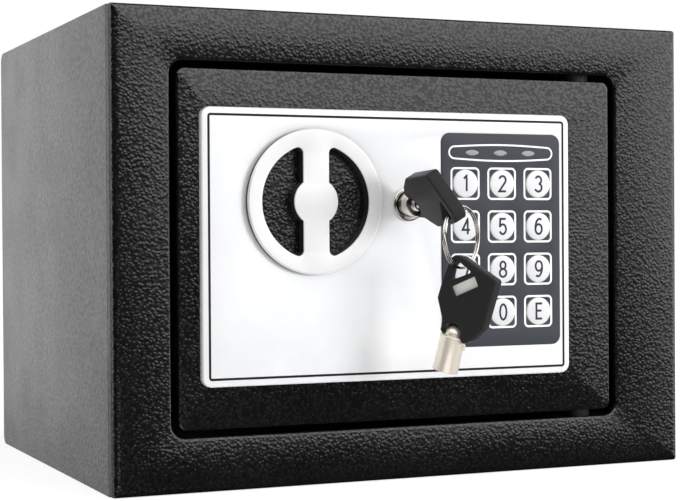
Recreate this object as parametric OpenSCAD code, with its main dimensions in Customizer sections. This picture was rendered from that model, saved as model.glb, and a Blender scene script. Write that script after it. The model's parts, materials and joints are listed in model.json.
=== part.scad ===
// Small electronic safe: a folded steel cabinet, a hinged door with a turning knob, a keypad,
// a tubular emergency lock with its key, and the bolt work, solenoid and batteries behind them.
// X runs to the right, Y to the back, Z up. The origin is the centre of the base.

/* [Cabinet] */
// Width over the side panels
cabinet_w = 230; // [200:1:400]
// Height over the top and base
cabinet_h = 170; // [150:1:400]
// Depth from the front frame to the back
cabinet_d = 177; // [150:1:400]
// Sheet of the cabinet walls
wall_t = 1.5; // [1:0.1:3]
// Outer bend radius at the back edges
back_bend_r = 4; // [3:0.5:8]
// Plate of the front frame
frame_t = 2; // [1.5:0.1:2.5]
// Depth of the front frame with its folded edge
frame_depth = 6; // [4:0.5:10]
// Corner radius of the front frame
frame_corner_r = 1; // [0.5:0.1:3]
// Frame to the left of the door opening
border_left = 21; // [20:0.5:40]
// Frame to the right of the door opening
border_right = 29; // [20:0.5:40]
// Frame above the door opening
border_top = 19; // [17:0.5:40]
// Frame below the door opening
border_bottom = 19.5; // [17:0.5:40]
// Corner radius of the door opening
opening_r = 5; // [3:0.5:8]
// Thickness of the felt mat on the floor
mat_t = 2.5; // [1.5:0.1:5]
// Anchor holes in the base and the back
anchor_hole_d = 10; // [6:0.5:14]
// Distance between a pair of anchor holes
anchor_spacing = 120; // [80:1:160]

/* [Door] */
// Gap around the door
door_gap = 2.5; // [1.5:0.1:3]
// Thickness of the door plate
door_t = 3; // [2:0.1:4]
// How far the door sits behind the frame
door_recess = 0.3; // [0:0.1:1]
// Corner radius of the door plate
door_r = 3; // [1:0.5:5]
// Depth of the steel pan on the back of the door
pan_depth = 26.8; // [24:0.1:40]
// Sheet of the pan and the inner cover
pan_t = 1.2; // [0.8:0.1:2]
// Door plate showing beyond the pan at the bolt side
pan_inset_bolt = 7.5; // [7:0.5:15]
// Door plate showing beyond the pan at the hinge side
pan_inset_hinge = 4; // [3:0.5:6]
// Door plate showing above and below the pan
pan_inset_z = 4; // [3:0.5:10]

/* [Hinge] */
// Hinge pin diameter
pin_d = 6; // [4:0.5:7]
// Pin centre from the hinge edge of the door
pin_inset = 10; // [9:0.5:12]
// Pin centre behind the front of the cabinet
pin_back = 9; // [8:0.5:10]
// Thickness of the hinge brackets
bracket_t = 2.5; // [2:0.1:4]

/* [Face plate] */
// Width of the face plate
face_w = 147.5; // [140:0.5:160]
// Height of the face plate
face_h = 98; // [90:0.5:110]
// Thickness of the face plate
face_t = 2.5; // [2:0.1:4]
// Corner radius of the face plate
face_r = 3.5; // [1:0.5:6]
// Face plate in from the bolt edge of the door
face_inset = 8; // [4:0.5:12]
// Face plate centre above the door centre
face_rise = 0.75; // [-2:0.25:2]

/* [Knob] */
// Knob diameter
knob_d = 52; // [48:1:56]
// How far the knob stands out from the face plate
knob_out = 2.5; // [2:0.1:6]
// Width of the grip bar between the two finger windows
grip_w = 9.8; // [8:0.2:14]
// Diameter of the disc at the middle of the grip bar
grip_disc_d = 16.8; // [14:0.2:20]
// Steel rim around the finger windows
knob_rim = 5.4; // [4:0.2:8]
// Knob centre from the face plate centre, across
knob_dx = -31.55; // [-34:0.05:-30]
// Knob centre from the face plate centre, up
knob_dz = 15.8; // [10:0.1:18]
// Spindle diameter
spindle_d = 10; // [8:0.5:12]
// Crank radius of the bolt cam
crank_r = 10; // [8:0.5:10]

/* [Keypad] */
// Width of the keypad panel
keypad_w = 50.2; // [50:0.1:56]
// Height of the keypad panel
keypad_h = 79.5; // [79:0.1:84]
// How far the panel stands out from the face plate
keypad_out = 0.5; // [0.3:0.1:1]
// Corner radius of the keypad panel
keypad_r = 3.5; // [1:0.5:5]
// Keypad centre from the face plate centre, across
keypad_dx = 44.35; // [43:0.05:45]
// Keypad centre from the face plate centre, up
keypad_dz = 1.75; // [-1:0.05:3]
// Key pitch across
key_pitch_x = 15.4; // [14.8:0.1:15.6]
// Key pitch up
key_pitch_z = 16; // [14.8:0.1:16.2]
// Key cap diameter
cap_d = 10.4; // [9:0.1:11]
// How far a key cap stands out from the panel
cap_out = 0.7; // [0.4:0.1:1.5]
// Travel of a key
key_travel = 0.6; // [0.3:0.1:0.7]

/* [Lock and keys] */
// Lock centre from the face plate centre, across
lock_dx = 5.75; // [4:0.05:6]
// Lock centre from the face plate centre, up
lock_dz = 15; // [14:0.1:16]
// Outer diameter of the lock bezel
bezel_d = 12.4; // [12:0.1:14]
// Outer diameter of the lock barrel
barrel_d = 11; // [10.5:0.1:12]
// Outer diameter of the tubular key
tube_d = 9.2; // [8.6:0.1:9.4]
// Length of the tube from the middle of the key's notch
tube_len = 14.2; // [13.5:0.1:15]
// Notch of the key in the lock, out from the face plate
key_seat = 9.4; // [9:0.1:10]
// Thickness of a key head
head_t = 5.2; // [4.6:0.1:5.6]
// Lean of the key in the lock, from upright
key_lean = 30; // [25:1:35]
// Mean diameter of the key ring
ring_d = 21.8; // [20:0.1:24]
// Wire of the key ring
ring_wire = 0.9; // [0.7:0.1:1]
// Bearing of the key ring
ring_bearing = 30; // [25:1:35]
// Where the ring's wire meets the key, from the ring's top
ring_meet = 35; // [30:1:40]
// Bearing of the spare key
spare_bearing = 52; // [45:1:58]
// Lean of the spare key
spare_lean = 15; // [12:1:18]

/* [Bolt work] */
// Diameter of the locking bolts
bolt_d = 14; // [10:0.5:14]
// Length of a locking bolt
bolt_len = 33; // [31:0.5:34]
// Distance between the two locking bolts
bolt_spacing = 70; // [60:1:80]
// How far a drawn-back bolt stands out from the pan
bolt_rest = 4; // [2:0.5:5]
// Plate of the bolt carriage
carriage_t = 2; // [1.5:0.1:2.5]
// Length of the lock's lever
lever_len = 22; // [20:0.5:22]
// Travel of the solenoid plunger
plunger_travel = 5; // [4:0.5:5]

/* [Batteries] */
// Cell diameter
cell_d = 14.2; // [13.5:0.1:14.5]
// Cell length
cell_len = 50.5; // [49:0.1:51]
// Number of cells
cell_count = 4; // [4:1:4]

/* [Fits] */
// Radial clearance of a shaft in its bore
running = 0.05; // [0.03:0.01:0.1]
// Clearance around a piece that only passes through
loose = 0.2; // [0.1:0.05:0.3]
// Gap between faces that turn or slide past each other
slip = 0.1; // [0.05:0.05:0.3]

/* [Hidden] */
$fn = 64;

eps = 0.01;

// Cabinet planes
half_w = cabinet_w / 2;
front_y = -cabinet_d / 2;
back_y = cabinet_d / 2;
seam_y = front_y + frame_depth;
frame_back_y = front_y + frame_t;

// Door opening and door, as low and high edges
open_x0 = -half_w + border_left;
open_x1 = half_w - border_right;
open_z0 = border_bottom;
open_z1 = cabinet_h - border_top;
door_x0 = open_x0 + door_gap;
door_x1 = open_x1 - door_gap;
door_z0 = open_z0 + door_gap;
door_z1 = open_z1 - door_gap;
door_cz = (door_z0 + door_z1) / 2;
door_y = front_y + door_recess;
door_back_y = door_y + door_t;

// Pan and inner cover
pan_x0 = door_x0 + pan_inset_bolt;
pan_x1 = door_x1 - pan_inset_hinge;
pan_z0 = door_z0 + pan_inset_z;
pan_z1 = door_z1 - pan_inset_z;
pan_back_y = door_back_y + pan_depth;
cover_back_y = pan_back_y + pan_t;
tab_size = 10;
cover_screw_inset = 5;
cover_screw_r = 1.5;
cover_screw_x = [
    pan_x0 + cover_screw_inset, (pan_x0 + pan_x1) / 2, pan_x1 - cover_screw_inset
];
cover_screw_z = [pan_z0 + cover_screw_inset, pan_z1 - cover_screw_inset];

// Hinge
pin_r = pin_d / 2;
pin_x = door_x1 - pin_inset;
pin_y = front_y + pin_back;
pin_in = 10;
pin_out = 3;
pin_collar_r = pin_r + 1.5;
pin_collar_t = 2;
bracket_gap = 0.5;
bracket_reach = 7.5;
bracket_side = 11.5;
bracket_leg = 8;

// Face plate and what stands on it
face_y = door_y - face_t;
face_x0 = door_x0 + face_inset;
face_cx = face_x0 + face_w / 2;
face_cz = door_cz + face_rise;
face_screw_inset_x = 3.2;
face_screw_inset_z = 5;
face_screw_r = 1.5;
face_screw_head_r = 2.8;
face_screw_head_t = 1.8;
face_screw_bite = 1.6;
face_screw_x = [face_x0 + 6.5, face_x0 + face_w - face_screw_inset_x];
face_screw_z = [
    face_cz - face_h / 2 + face_screw_inset_z, face_cz + face_h / 2 - face_screw_inset_z
];

// Knob, spindle and cam
knob_x = face_cx + knob_dx;
knob_z = face_cz + knob_dz;
knob_front_y = face_y - knob_out;
knob_boss_r = knob_d / 2 - 3.5;
knob_hole_r = knob_boss_r + 0.5;
window_r = knob_d / 2 - knob_rim;
boss_back_y = door_y - loose;
cam_y = door_back_y + 0.3;
cam_t = 3;
cam_r = crank_r + 3;
cam_pin_r = 2.5;
spindle_square = 7;
cam_screw_head_r = 4.5;
cam_screw_head_t = 2.5;
cam_screw_r = 2;
cam_screw_len = 5;
pin_rest_angle = 45;
bolt_travel = 2 * crank_r * cos(pin_rest_angle);

// Keypad
keypad_x = face_cx + keypad_dx;
keypad_z = face_cz + keypad_dz;
keypad_y = face_y - keypad_out;
panel_t = keypad_out + 0.7;
panel_back_y = keypad_y + panel_t;
panel_lip = 1.5;
key_cols = 3;
key_rows = 4;
key_mid_dz = -3;
cap_hole_r = cap_d / 2 + loose;
cap_flange_r = cap_d / 2 + 1.1;
cap_flange_t = 0.6;
stem_r = 2;
cap_top_y = keypad_y - cap_out;
cap_flange_y = panel_back_y + slip;
switch_h = 1.9;
switch_w = 6;
switch_top_y = door_back_y - switch_h;
stem_end_y = switch_top_y - key_travel - slip;
led_dz = 32.5;
led_pitch = 11.9;
led_mid_dx = -0.5;
led_w = 5.8;
led_h = 2.2;
led_out = 0.15;
board_t = 1.6;
board_back_y = door_back_y + board_t;
cutout_w = 45.2;
cutout_h = 75.5;
board_w = cutout_w + 5.8;
board_h = cutout_h + 3;

// Plane of the bolts and their carriage
bolt_r = bolt_d / 2;
bolt_clear = 0.7;
bolt_y = door_back_y + bolt_r + bolt_clear;
carriage_y0 = bolt_y - carriage_t / 2;
carriage_y1 = bolt_y + carriage_t / 2;

// Lock
lever_clear = 0.3;
lock_x = face_cx + lock_dx;
lock_z = face_cz + lock_dz;
bezel_t = 1.2;
bezel_y = face_y - bezel_t;
barrel_r = barrel_d / 2;
barrel_back_y = carriage_y1 + lever_clear;
keyway_end_y = door_back_y + 0.6;
keyway_r = tube_d / 2 + 0.4;
bezel_recess_r = bezel_d / 2 - 1;
bezel_recess_t = 0.9;
tube_wall = 1.4;
post_r = tube_d / 2 - tube_wall - 0.4;
plug_r = 4;
nut_af = 15;
nut_t = 3;
tail_square = 5;
lever_y = barrel_back_y + loose;
lever_t = 2;
lever_w = 8;
lever_hub_r = 5.5;
lever_screw_head_r = 3.6;
lever_screw_head_t = 1.8;
lever_screw_r = 1.5;
lever_screw_len = 4;

// Keys and ring: the first key's notch, the points where the ring's wire crosses each head
notch_y = face_y - key_seat;
ring_hole_first = [-3.7, 21.5];
ring_hole_spare = [-3, 22.7];
ring_r = ring_d / 2;
ring_dir = [cos(ring_bearing), sin(ring_bearing), 0];
wire_at_first = [
    lock_x - ring_hole_first[0] * sin(key_lean),
    notch_y - ring_hole_first[1],
    lock_z + ring_hole_first[0] * cos(key_lean)
];
ring_centre = wire_at_first + ring_r * sin(ring_meet) * ring_dir - [0, 0, ring_r * cos(ring_meet)];
wire_at_spare = ring_centre - [0, 0, ring_r];
spare_across = [cos(spare_bearing), -sin(spare_bearing), 0];
spare_s = cos(spare_lean) * spare_across - [0, 0, sin(spare_lean)];
spare_u = sin(spare_lean) * spare_across + [0, 0, cos(spare_lean)];
spare_at = wire_at_spare - ring_hole_spare[0] * spare_s - ring_hole_spare[1] * spare_u;
blade_t = 1.6;
window_at = [0.8, 17.1];
window_turn = 37.5;
window_len = 9.6;
window_w = 3.6;
window_margin = 0.8;
dome_r = 3;
shoulder_u = -1.2;

// Bolt work
bolt_x0 = pan_x0 - bolt_rest;
bolt_x1 = bolt_x0 + bolt_len;
bolt_z = [door_cz - bolt_spacing / 2, door_cz + bolt_spacing / 2];
carriage_x0 = bolt_x1 - 11;
carriage_x1 = knob_x + 20;
carriage_margin_z = 6.5;
rivet_r = 1.5;
rivet_x = bolt_x1 - 5.5;
cam_slot_x = knob_x + crank_r * cos(pin_rest_angle);
cam_slot_w = 2 * cam_pin_r + 0.8;
cam_slot_z0 = knob_z + crank_r * sin(pin_rest_angle) - cam_pin_r - 0.4;
cam_slot_z1 = knob_z + crank_r + cam_pin_r + 0.4;
stud_r = 2.5;
stud_spacer_r = 4;
stud_head_t = 1.4;
stud_play = 0.2;
stud_at = [[bolt_x1 + 3, door_cz - 13.25], [bolt_x1 + 7, cam_slot_z1 + 4.8]];
guide_x = pan_x0 + pan_t;
guide_t = 2;
guide_half_h = 11;
guide_y1 = bolt_y + bolt_r + 1.5;

// Solenoid below the lock, its plunger under the lever
sol_x = lock_x;
sol_y = bolt_y + 1;
plunger_r = 3;
plunger_top_z = lock_z - lever_len - 0.8;
plunger_len = 32.2;
clip_z = plunger_top_z - 3.7;
clip_t = 1.2;
clip_r = 4.6;
sol_top_z = plunger_top_z - 10.2;
sol_h = 28;
sol_w = 18;
sol_sheet = 1.5;
coil_r = 6.7;
arm_z0 = plunger_top_z + plunger_travel + 0.8;
arm_z1 = arm_z0 + 7;
tab_x0 = sol_x + 5;
tab_w = 4;
tab_z0 = plunger_top_z + 1;

// Battery box behind the keypad
cell_r = cell_d / 2;
cell_pitch = cell_d + 0.2;
box_wall = 1.5;
contact_room = 5.25;
box_in_x = cell_len + 2 * contact_room;
box_in_z = cell_count * cell_pitch + 1.4;
box_x = keypad_x + 5.4;
box_z = keypad_z + 5.25;
box_depth = cell_d + 3.4;
box_front_y = pan_back_y - box_depth;
cell_y = box_front_y + box_wall + cell_r + 0.1;
contact_t = 0.5;
contact_r = 3;
lid_t = 1.8;
lid_over = 3;
bay_w = box_in_x - 5;
bay_h = box_in_z - 5;
lid_pin_r = 1;
lid_barrel_r = 1.9;
lid_barrel_len = 40;
lid_ear_t = 2.8;
lid_y = cover_back_y + slip;
lid_pin_y = lid_y + lid_barrel_r;
lid_pin_z = box_z + bay_h / 2 + lid_over + 0.6;

// Reset button beside the batteries
reset_x = box_x;
reset_z = box_z + box_in_z / 2 + box_wall + 7;
reset_r = 2.5;
reset_travel = 1;
reset_out = 1;
reset_shelf_y = pan_back_y - 7.6;
reset_shelf_t = 1.5;
reset_switch_t = 3;

// ---- helpers ----

// Rectangle with round corners about the origin
module rounded_rect(w, h, r) {
    square([w - 2 * r, h], center = true);
    square([w, h - 2 * r], center = true);
    for (sx = [-1, 1], sz = [-1, 1])
        translate([sx * (w / 2 - r), sz * (h / 2 - r)])
            circle(r);
}

// Rectangle with round corners between low and high edges
module rounded_box2(x0, x1, z0, z1, r) {
    translate([(x0 + x1) / 2, (z0 + z1) / 2])
        rounded_rect(x1 - x0, z1 - z0, r);
}

// Plain rectangle between low and high edges
module box2(x0, x1, z0, z1) {
    translate([x0, z0])
        square([x1 - x0, z1 - z0]);
}

// Slot with round ends, w long over all, about the origin
module slot2(w, h) {
    square([w - h, h], center = true);
    for (sx = [-1, 1])
        translate([sx * (w - h) / 2, 0])
            circle(h / 2);
}

// Extrudes an outline drawn in X and Z from y0 back to y1
module from_y(y0, y1) {
    translate([0, y1, 0])
        rotate([90, 0, 0])
            linear_extrude(y1 - y0)
                children();
}

// Block between two corners
module block(low, high) {
    translate(low)
        cube(high - low);
}

// Round bar along Y
module bar_y(x, z, r, y0, y1) {
    translate([x, y1, z])
        rotate([90, 0, 0])
            cylinder(r = r, h = y1 - y0);
}

// Round bar along X
module bar_x(y, z, r, x0, x1) {
    translate([x0, y, z])
        rotate([0, 90, 0])
            cylinder(r = r, h = x1 - x0);
}

// Round bar along Z
module bar_z(x, y, r, z0, z1) {
    translate([x, y, z0])
        cylinder(r = r, h = z1 - z0);
}

// Places of the two anchor holes along X
module anchor_pair() {
    for (sx = [-1, 1])
        translate([sx * anchor_spacing / 2, 0, 0])
            children();
}

// ---- cabinet ----

// Side view of the cabinet, inset all round, open to the front
module side_outline(inset) {
    r = back_bend_r - inset;
    low = inset;
    high = cabinet_h - inset;
    rear = back_y - inset;
    box2(seam_y, rear - r, low, high);
    box2(seam_y, rear, low + r, high - r);
    for (z = [low + r, high - r])
        translate([rear - r, z])
            circle(r);
}

// Base, back and top: one sheet bent round the two back edges
module cabinet_wrap() {
    anchor_back_z = cabinet_h / 2;
    color("dimgray")
        difference() {
            translate([-half_w + wall_t, 0, 0])
                rotate([90, 0, 90])
                    linear_extrude(cabinet_w - 2 * wall_t)
                        difference() {
                            side_outline(0);
                            translate([-eps, 0])
                                side_outline(wall_t);
                        }
            anchor_pair() {
                bar_z(0, 0, anchor_hole_d / 2, -1, wall_t + 1);
                bar_y(0, anchor_back_z, anchor_hole_d / 2, back_y - wall_t - 1, back_y + 1);
            }
        }
}

// The two flat side walls
module side_panels() {
    color("gray")
        for (x = [-half_w, half_w - wall_t])
            translate([x, 0, 0])
                rotate([90, 0, 90])
                    linear_extrude(wall_t)
                        side_outline(0);
}

// Front plate with the door opening and a folded edge that meets the walls
module front_frame() {
    color("dimgray")
        difference() {
            from_y(front_y, seam_y)
                rounded_box2(-half_w, half_w, 0, cabinet_h, frame_corner_r);
            from_y(front_y - 1, seam_y)
                rounded_box2(open_x0, open_x1, open_z0, open_z1, opening_r);
            block(
                [-half_w + wall_t, frame_back_y, wall_t],
                [half_w - wall_t, seam_y + 1, cabinet_h - wall_t]
            );
        }
}

// One bracket: a leaf with the pin's bore, and a leg on the back of the frame
module hinge_bracket(leaf_z, leg_z0, leg_z1) {
    difference() {
        union() {
            block(
                [pin_x - bracket_side, frame_back_y, leaf_z],
                [pin_x + bracket_side + 5, pin_y + bracket_reach, leaf_z + bracket_t]
            );
            block(
                [pin_x - bracket_side, frame_back_y, leg_z0],
                [pin_x + bracket_side + 5, frame_back_y + bracket_t, leg_z1]
            );
        }
        bar_z(pin_x, pin_y, pin_r + running, leaf_z - 1, leaf_z + bracket_t + 1);
    }
}

module hinge_brackets() {
    upper = open_z1 + bracket_gap;
    lower = open_z0 - bracket_gap - bracket_t;
    color("dimgray") {
        hinge_bracket(upper, upper, upper + bracket_t + bracket_leg);
        hinge_bracket(lower, lower - bracket_leg, lower + bracket_t);
    }
}

// Strip inside the frame with a notch for each locking bolt
module bolt_keeper() {
    keeper_x = open_x0 - 2;
    notch = bolt_r + 1;
    color("dimgray")
        difference() {
            block(
                [keeper_x - bracket_t, frame_back_y, door_z0 + 2],
                [keeper_x, guide_y1, door_z1 - 2]
            );
            for (z = bolt_z)
                block(
                    [keeper_x - bracket_t - 1, frame_back_y + 1.2, z - notch],
                    [keeper_x + 1, guide_y1 + 1, z + notch]
                );
        }
}

// Felt mat on the cabinet floor
module floor_mat() {
    side = 3.5;
    color("black")
        difference() {
            block(
                [-half_w + wall_t + side, seam_y + 8, wall_t],
                [half_w - wall_t - side, back_y - back_bend_r, wall_t + mat_t]
            );
            anchor_pair()
                bar_z(0, 0, anchor_hole_d / 2 + 2, 0, wall_t + mat_t + 1);
        }
}

// ---- door ----

module door_plate() {
    color("black")
        difference() {
            from_y(door_y, door_back_y)
                rounded_box2(door_x0, door_x1, door_z0, door_z1, door_r);
            bar_y(knob_x, knob_z, spindle_d / 2 + running, door_y - 1, door_back_y + 1);
            bar_y(lock_x, lock_z, barrel_r + running, door_y - 1, door_back_y + 1);
            from_y(door_y - 1, door_back_y + 1)
                translate([keypad_x, keypad_z])
                    square([cutout_w, cutout_h], center = true);
            face_screw_places()
                bar_y(0, 0, face_screw_r + running, door_y - 1, door_back_y + 1);
        }
}

// Corner places of the screws that hold the face plate from behind
module face_screw_places() {
    for (x = face_screw_x, z = face_screw_z)
        translate([x, 0, z])
            children();
}

// Places of the six screws of the inner cover
module cover_screw_places() {
    for (x = cover_screw_x, z = cover_screw_z)
        translate([x, 0, z])
            children();
}

// Four walls welded to the back of the door plate, with a tab for each cover screw
module door_pan() {
    half = tab_size / 2;
    color("black")
        difference() {
            union() {
                from_y(door_back_y, pan_back_y)
                    difference() {
                        box2(pan_x0, pan_x1, pan_z0, pan_z1);
                        box2(pan_x0 + pan_t, pan_x1 - pan_t, pan_z0 + pan_t, pan_z1 - pan_t);
                    }
                cover_screw_places()
                    block([-half, pan_back_y - pan_t, -half], [half, pan_back_y, half]);
            }
            for (z = bolt_z)
                bar_x(bolt_y, z, bolt_r + loose, pan_x0 - 1, pan_x0 + pan_t + 1);
            bar_z(pin_x, pin_y, pin_r + running, pan_z0 - 1, pan_z1 + 1);
            cover_screw_places()
                bar_y(0, 0, cover_screw_r + running, pan_back_y - 2 * pan_t, pan_back_y + 1);
        }
}

// Cover on the inside of the door, with the battery bay, the reset hole and the lid's hinge
module inner_cover() {
    ear_x = lid_barrel_len / 2 + loose;
    color("black") {
        difference() {
            from_y(pan_back_y, cover_back_y)
                box2(pan_x0, pan_x1, pan_z0, pan_z1);
            from_y(pan_back_y - 1, cover_back_y + 1)
                translate([box_x, box_z])
                    square([bay_w, bay_h], center = true);
            bar_y(reset_x, reset_z, reset_r + loose, pan_back_y - 1, cover_back_y + 1);
            cover_screw_places()
                bar_y(0, 0, cover_screw_r + running, pan_back_y - 1, cover_back_y + 1);
        }
        for (x = [box_x - ear_x - lid_ear_t, box_x + ear_x]) {
            bar_x(lid_pin_y, lid_pin_z, lid_barrel_r, x, x + lid_ear_t);
            block(
                [x, cover_back_y - eps, lid_pin_z - lid_barrel_r],
                [x + lid_ear_t, lid_pin_y, lid_pin_z + lid_barrel_r]
            );
        }
        bar_x(lid_pin_y, lid_pin_z, lid_pin_r, box_x - ear_x - 1, box_x + ear_x + 1);
    }
}

module cover_screws() {
    head_r = 3;
    head_t = 1.5;
    shank = 4.5;
    color("silver")
        cover_screw_places() {
            bar_y(0, 0, head_r, cover_back_y, cover_back_y + head_t);
            bar_y(0, 0, cover_screw_r, cover_back_y - shank, cover_back_y + eps);
        }
}

// Upper and lower pins, fixed in the pan and free in the brackets
module hinge_pins() {
    top = open_z1 + bracket_gap + bracket_t + pin_out;
    low = open_z0 - bracket_gap - bracket_t - pin_out;
    color("silver") {
        bar_z(pin_x, pin_y, pin_r, pan_z1 - pan_t - pin_in, top);
        bar_z(pin_x, pin_y, pin_collar_r, pan_z1 - pan_t - pin_collar_t, pan_z1 - pan_t);
        bar_z(pin_x, pin_y, pin_r, low, pan_z0 + pan_t + pin_in);
        bar_z(pin_x, pin_y, pin_collar_r, pan_z0 + pan_t, pan_z0 + pan_t + pin_collar_t);
    }
}

// Bushes between the pan and the brackets
module hinge_spacers() {
    outer = pin_r + 2;
    color("whitesmoke")
        difference() {
            union() {
                bar_z(pin_x, pin_y, outer, pan_z1, open_z1 + bracket_gap - slip);
                bar_z(pin_x, pin_y, outer, open_z0 - bracket_gap + slip, pan_z0);
            }
            bar_z(pin_x, pin_y, pin_r + running, open_z0 - bracket_t, open_z1 + bracket_t);
        }
}

module face_plate() {
    color("whitesmoke")
        difference() {
            from_y(face_y, door_y)
                translate([face_cx, face_cz])
                    rounded_rect(face_w, face_h, face_r);
            bar_y(knob_x, knob_z, knob_hole_r, face_y - 1, door_y + 1);
            bar_y(lock_x, lock_z, barrel_r + running, face_y - 1, door_y + 1);
            from_y(face_y - 1, door_y + 1)
                translate([keypad_x, keypad_z])
                    square([keypad_w - 2 * panel_lip, keypad_h - 2 * panel_lip], center = true);
            face_screw_places()
                bar_y(0, 0, face_screw_r + running, door_y - face_screw_bite - slip, door_y + 1);
        }
}

module face_plate_screws() {
    color("silver")
        face_screw_places() {
            bar_y(0, 0, face_screw_head_r, door_back_y, door_back_y + face_screw_head_t);
            bar_y(0, 0, face_screw_r, door_y - face_screw_bite, door_back_y + eps);
        }
}

// ---- keypad ----

// Place of the key in one column and row, counted from the upper left
module key_place(col, row) {
    translate([
        keypad_x + (col - (key_cols - 1) / 2) * key_pitch_x,
        0,
        keypad_z + key_mid_dz - (row - (key_rows - 1) / 2) * key_pitch_z
    ])
        children();
}

// Places of the three indicator lamps
module led_places() {
    for (i = [-1, 0, 1])
        translate([keypad_x + led_mid_dx + i * led_pitch, 0, keypad_z + led_dz])
            children();
}

module keypad_panel() {
    inner = panel_lip + loose;
    color("slategray")
        difference() {
            union() {
                from_y(keypad_y, face_y)
                    translate([keypad_x, keypad_z])
                        rounded_rect(keypad_w, keypad_h, keypad_r);
                from_y(face_y - eps, panel_back_y)
                    translate([keypad_x, keypad_z])
                        square([keypad_w - 2 * inner, keypad_h - 2 * inner], center = true);
            }
            for (col = [0 : key_cols - 1], row = [0 : key_rows - 1])
                key_place(col, row)
                    bar_y(0, 0, cap_hole_r, keypad_y - 1, panel_back_y + 1);
            led_places()
                from_y(keypad_y - 1, panel_back_y + 1)
                    slot2(led_w + 2 * slip, led_h + 2 * slip);
        }
}

module indicator_leds() {
    color("lightgray")
        led_places()
            from_y(keypad_y - led_out, door_back_y)
                slot2(led_w, led_h);
}

module keypad_board() {
    color("green")
        from_y(door_back_y, board_back_y)
            translate([keypad_x, keypad_z])
                square([board_w, board_h], center = true);
}

module key_switches() {
    half = switch_w / 2;
    color("dimgray")
        for (col = [0 : key_cols - 1], row = [0 : key_rows - 1])
            key_place(col, row)
                block([-half, switch_top_y, -half], [half, door_back_y, half]);
}

// One key: round cap, flange behind the panel, stem over its switch
module key_cap(col, row) {
    color("silver")
        key_place(col, row) {
            bar_y(0, 0, cap_d / 2, cap_top_y, cap_flange_y + eps);
            bar_y(0, 0, cap_flange_r, cap_flange_y, cap_flange_y + cap_flange_t);
            bar_y(0, 0, stem_r, cap_flange_y + cap_flange_t - eps, stem_end_y);
        }
}

module key_1() { key_cap(0, 0); }
module key_2() { key_cap(1, 0); }
module key_3() { key_cap(2, 0); }
module key_4() { key_cap(0, 1); }
module key_5() { key_cap(1, 1); }
module key_6() { key_cap(2, 1); }
module key_7() { key_cap(0, 2); }
module key_8() { key_cap(1, 2); }
module key_9() { key_cap(2, 2); }
module key_cancel() { key_cap(0, 3); }
module key_0() { key_cap(1, 3); }
module key_enter() { key_cap(2, 3); }

// ---- lock ----

module lock_barrel() {
    color("silver")
        difference() {
            union() {
                bar_y(lock_x, lock_z, bezel_d / 2, bezel_y, face_y);
                bar_y(lock_x, lock_z, barrel_r, face_y - eps, barrel_back_y);
            }
            bar_y(lock_x, lock_z, bezel_recess_r, bezel_y - 1, bezel_y + bezel_recess_t);
            bar_y(lock_x, lock_z, keyway_r, bezel_y, keyway_end_y);
            bar_y(lock_x, lock_z, plug_r + running, keyway_end_y - 1, barrel_back_y + 1);
        }
}

module lock_nut() {
    color("silver")
        difference() {
            translate([lock_x, door_back_y + nut_t, lock_z])
                rotate([90, 0, 0])
                    cylinder(d = nut_af / cos(30), h = nut_t, $fn = 6);
            bar_y(lock_x, lock_z, barrel_r + running, door_back_y - 1, door_back_y + nut_t + 1);
        }
}

// Turning plug with the centre post of the keyway and a square tail
module lock_plug() {
    half = tail_square / 2;
    tail_end = lever_y + lever_t;
    color("gray")
        difference() {
            union() {
                bar_y(lock_x, lock_z, post_r, face_y, keyway_end_y + slip + eps);
                bar_y(lock_x, lock_z, plug_r, keyway_end_y + slip, barrel_back_y);
                block(
                    [lock_x - half, barrel_back_y - eps, lock_z - half],
                    [lock_x + half, tail_end, lock_z + half]
                );
            }
            bar_y(lock_x, lock_z, lever_screw_r + running, tail_end - lever_screw_len, tail_end + 1);
        }
}

// Lever on the plug's tail that holds the plunger down
module lock_cam() {
    half = tail_square / 2 + running;
    end_r = lever_w / 2;
    color("silver")
        from_y(lever_y, lever_y + lever_t)
            translate([lock_x, lock_z])
                difference() {
                    union() {
                        circle(lever_hub_r);
                        box2(-end_r, end_r, -lever_len + end_r, 0);
                        translate([0, -lever_len + end_r])
                            circle(end_r);
                    }
                    square(2 * half, center = true);
                }
}

module lock_cam_screw() {
    seat = lever_y + lever_t;
    color("silver") {
        bar_y(lock_x, lock_z, lever_screw_head_r, seat, seat + lever_screw_head_t);
        bar_y(lock_x, lock_z, lever_screw_r, seat - lever_screw_len + slip, seat + eps);
    }
}

// ---- keys and ring ----

// Outline of a key head: across from the tube's axis, and out from the notch
head_points = [
    [-8.4, 10.5], [-7.9, 19.5], [-7, 25.4], [-5.4, 26.9], [-2.6, 27], [12.3, 22.2],
    [11.6, 4.4], [8.4, -0.4], [5.1, -2.8], [3.4, -1], [-3.4, -1], [-4.5, -0.2], [-4.7, 3.6]
];
// Hole for the ring
hole_points = [[-5.6, 17.2], [-5.6, 22.8], [-4.6, 24.6], [-3, 24.8], [2.2, 22.6]];
head_notch_r = 3.4;

// Flat metal inside the head: a strip up from the tube and a pad behind the window
module blade_outline(grow) {
    strip = 2.4;
    strip_top = 15.5;
    box2(-strip - grow, strip + grow, shoulder_u, strip_top + grow);
    translate(window_at)
        rotate(window_turn)
            square(
                [window_len + 2 * (window_margin + grow), window_w + 2 * (window_margin + grow)],
                center = true
            );
}

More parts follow.
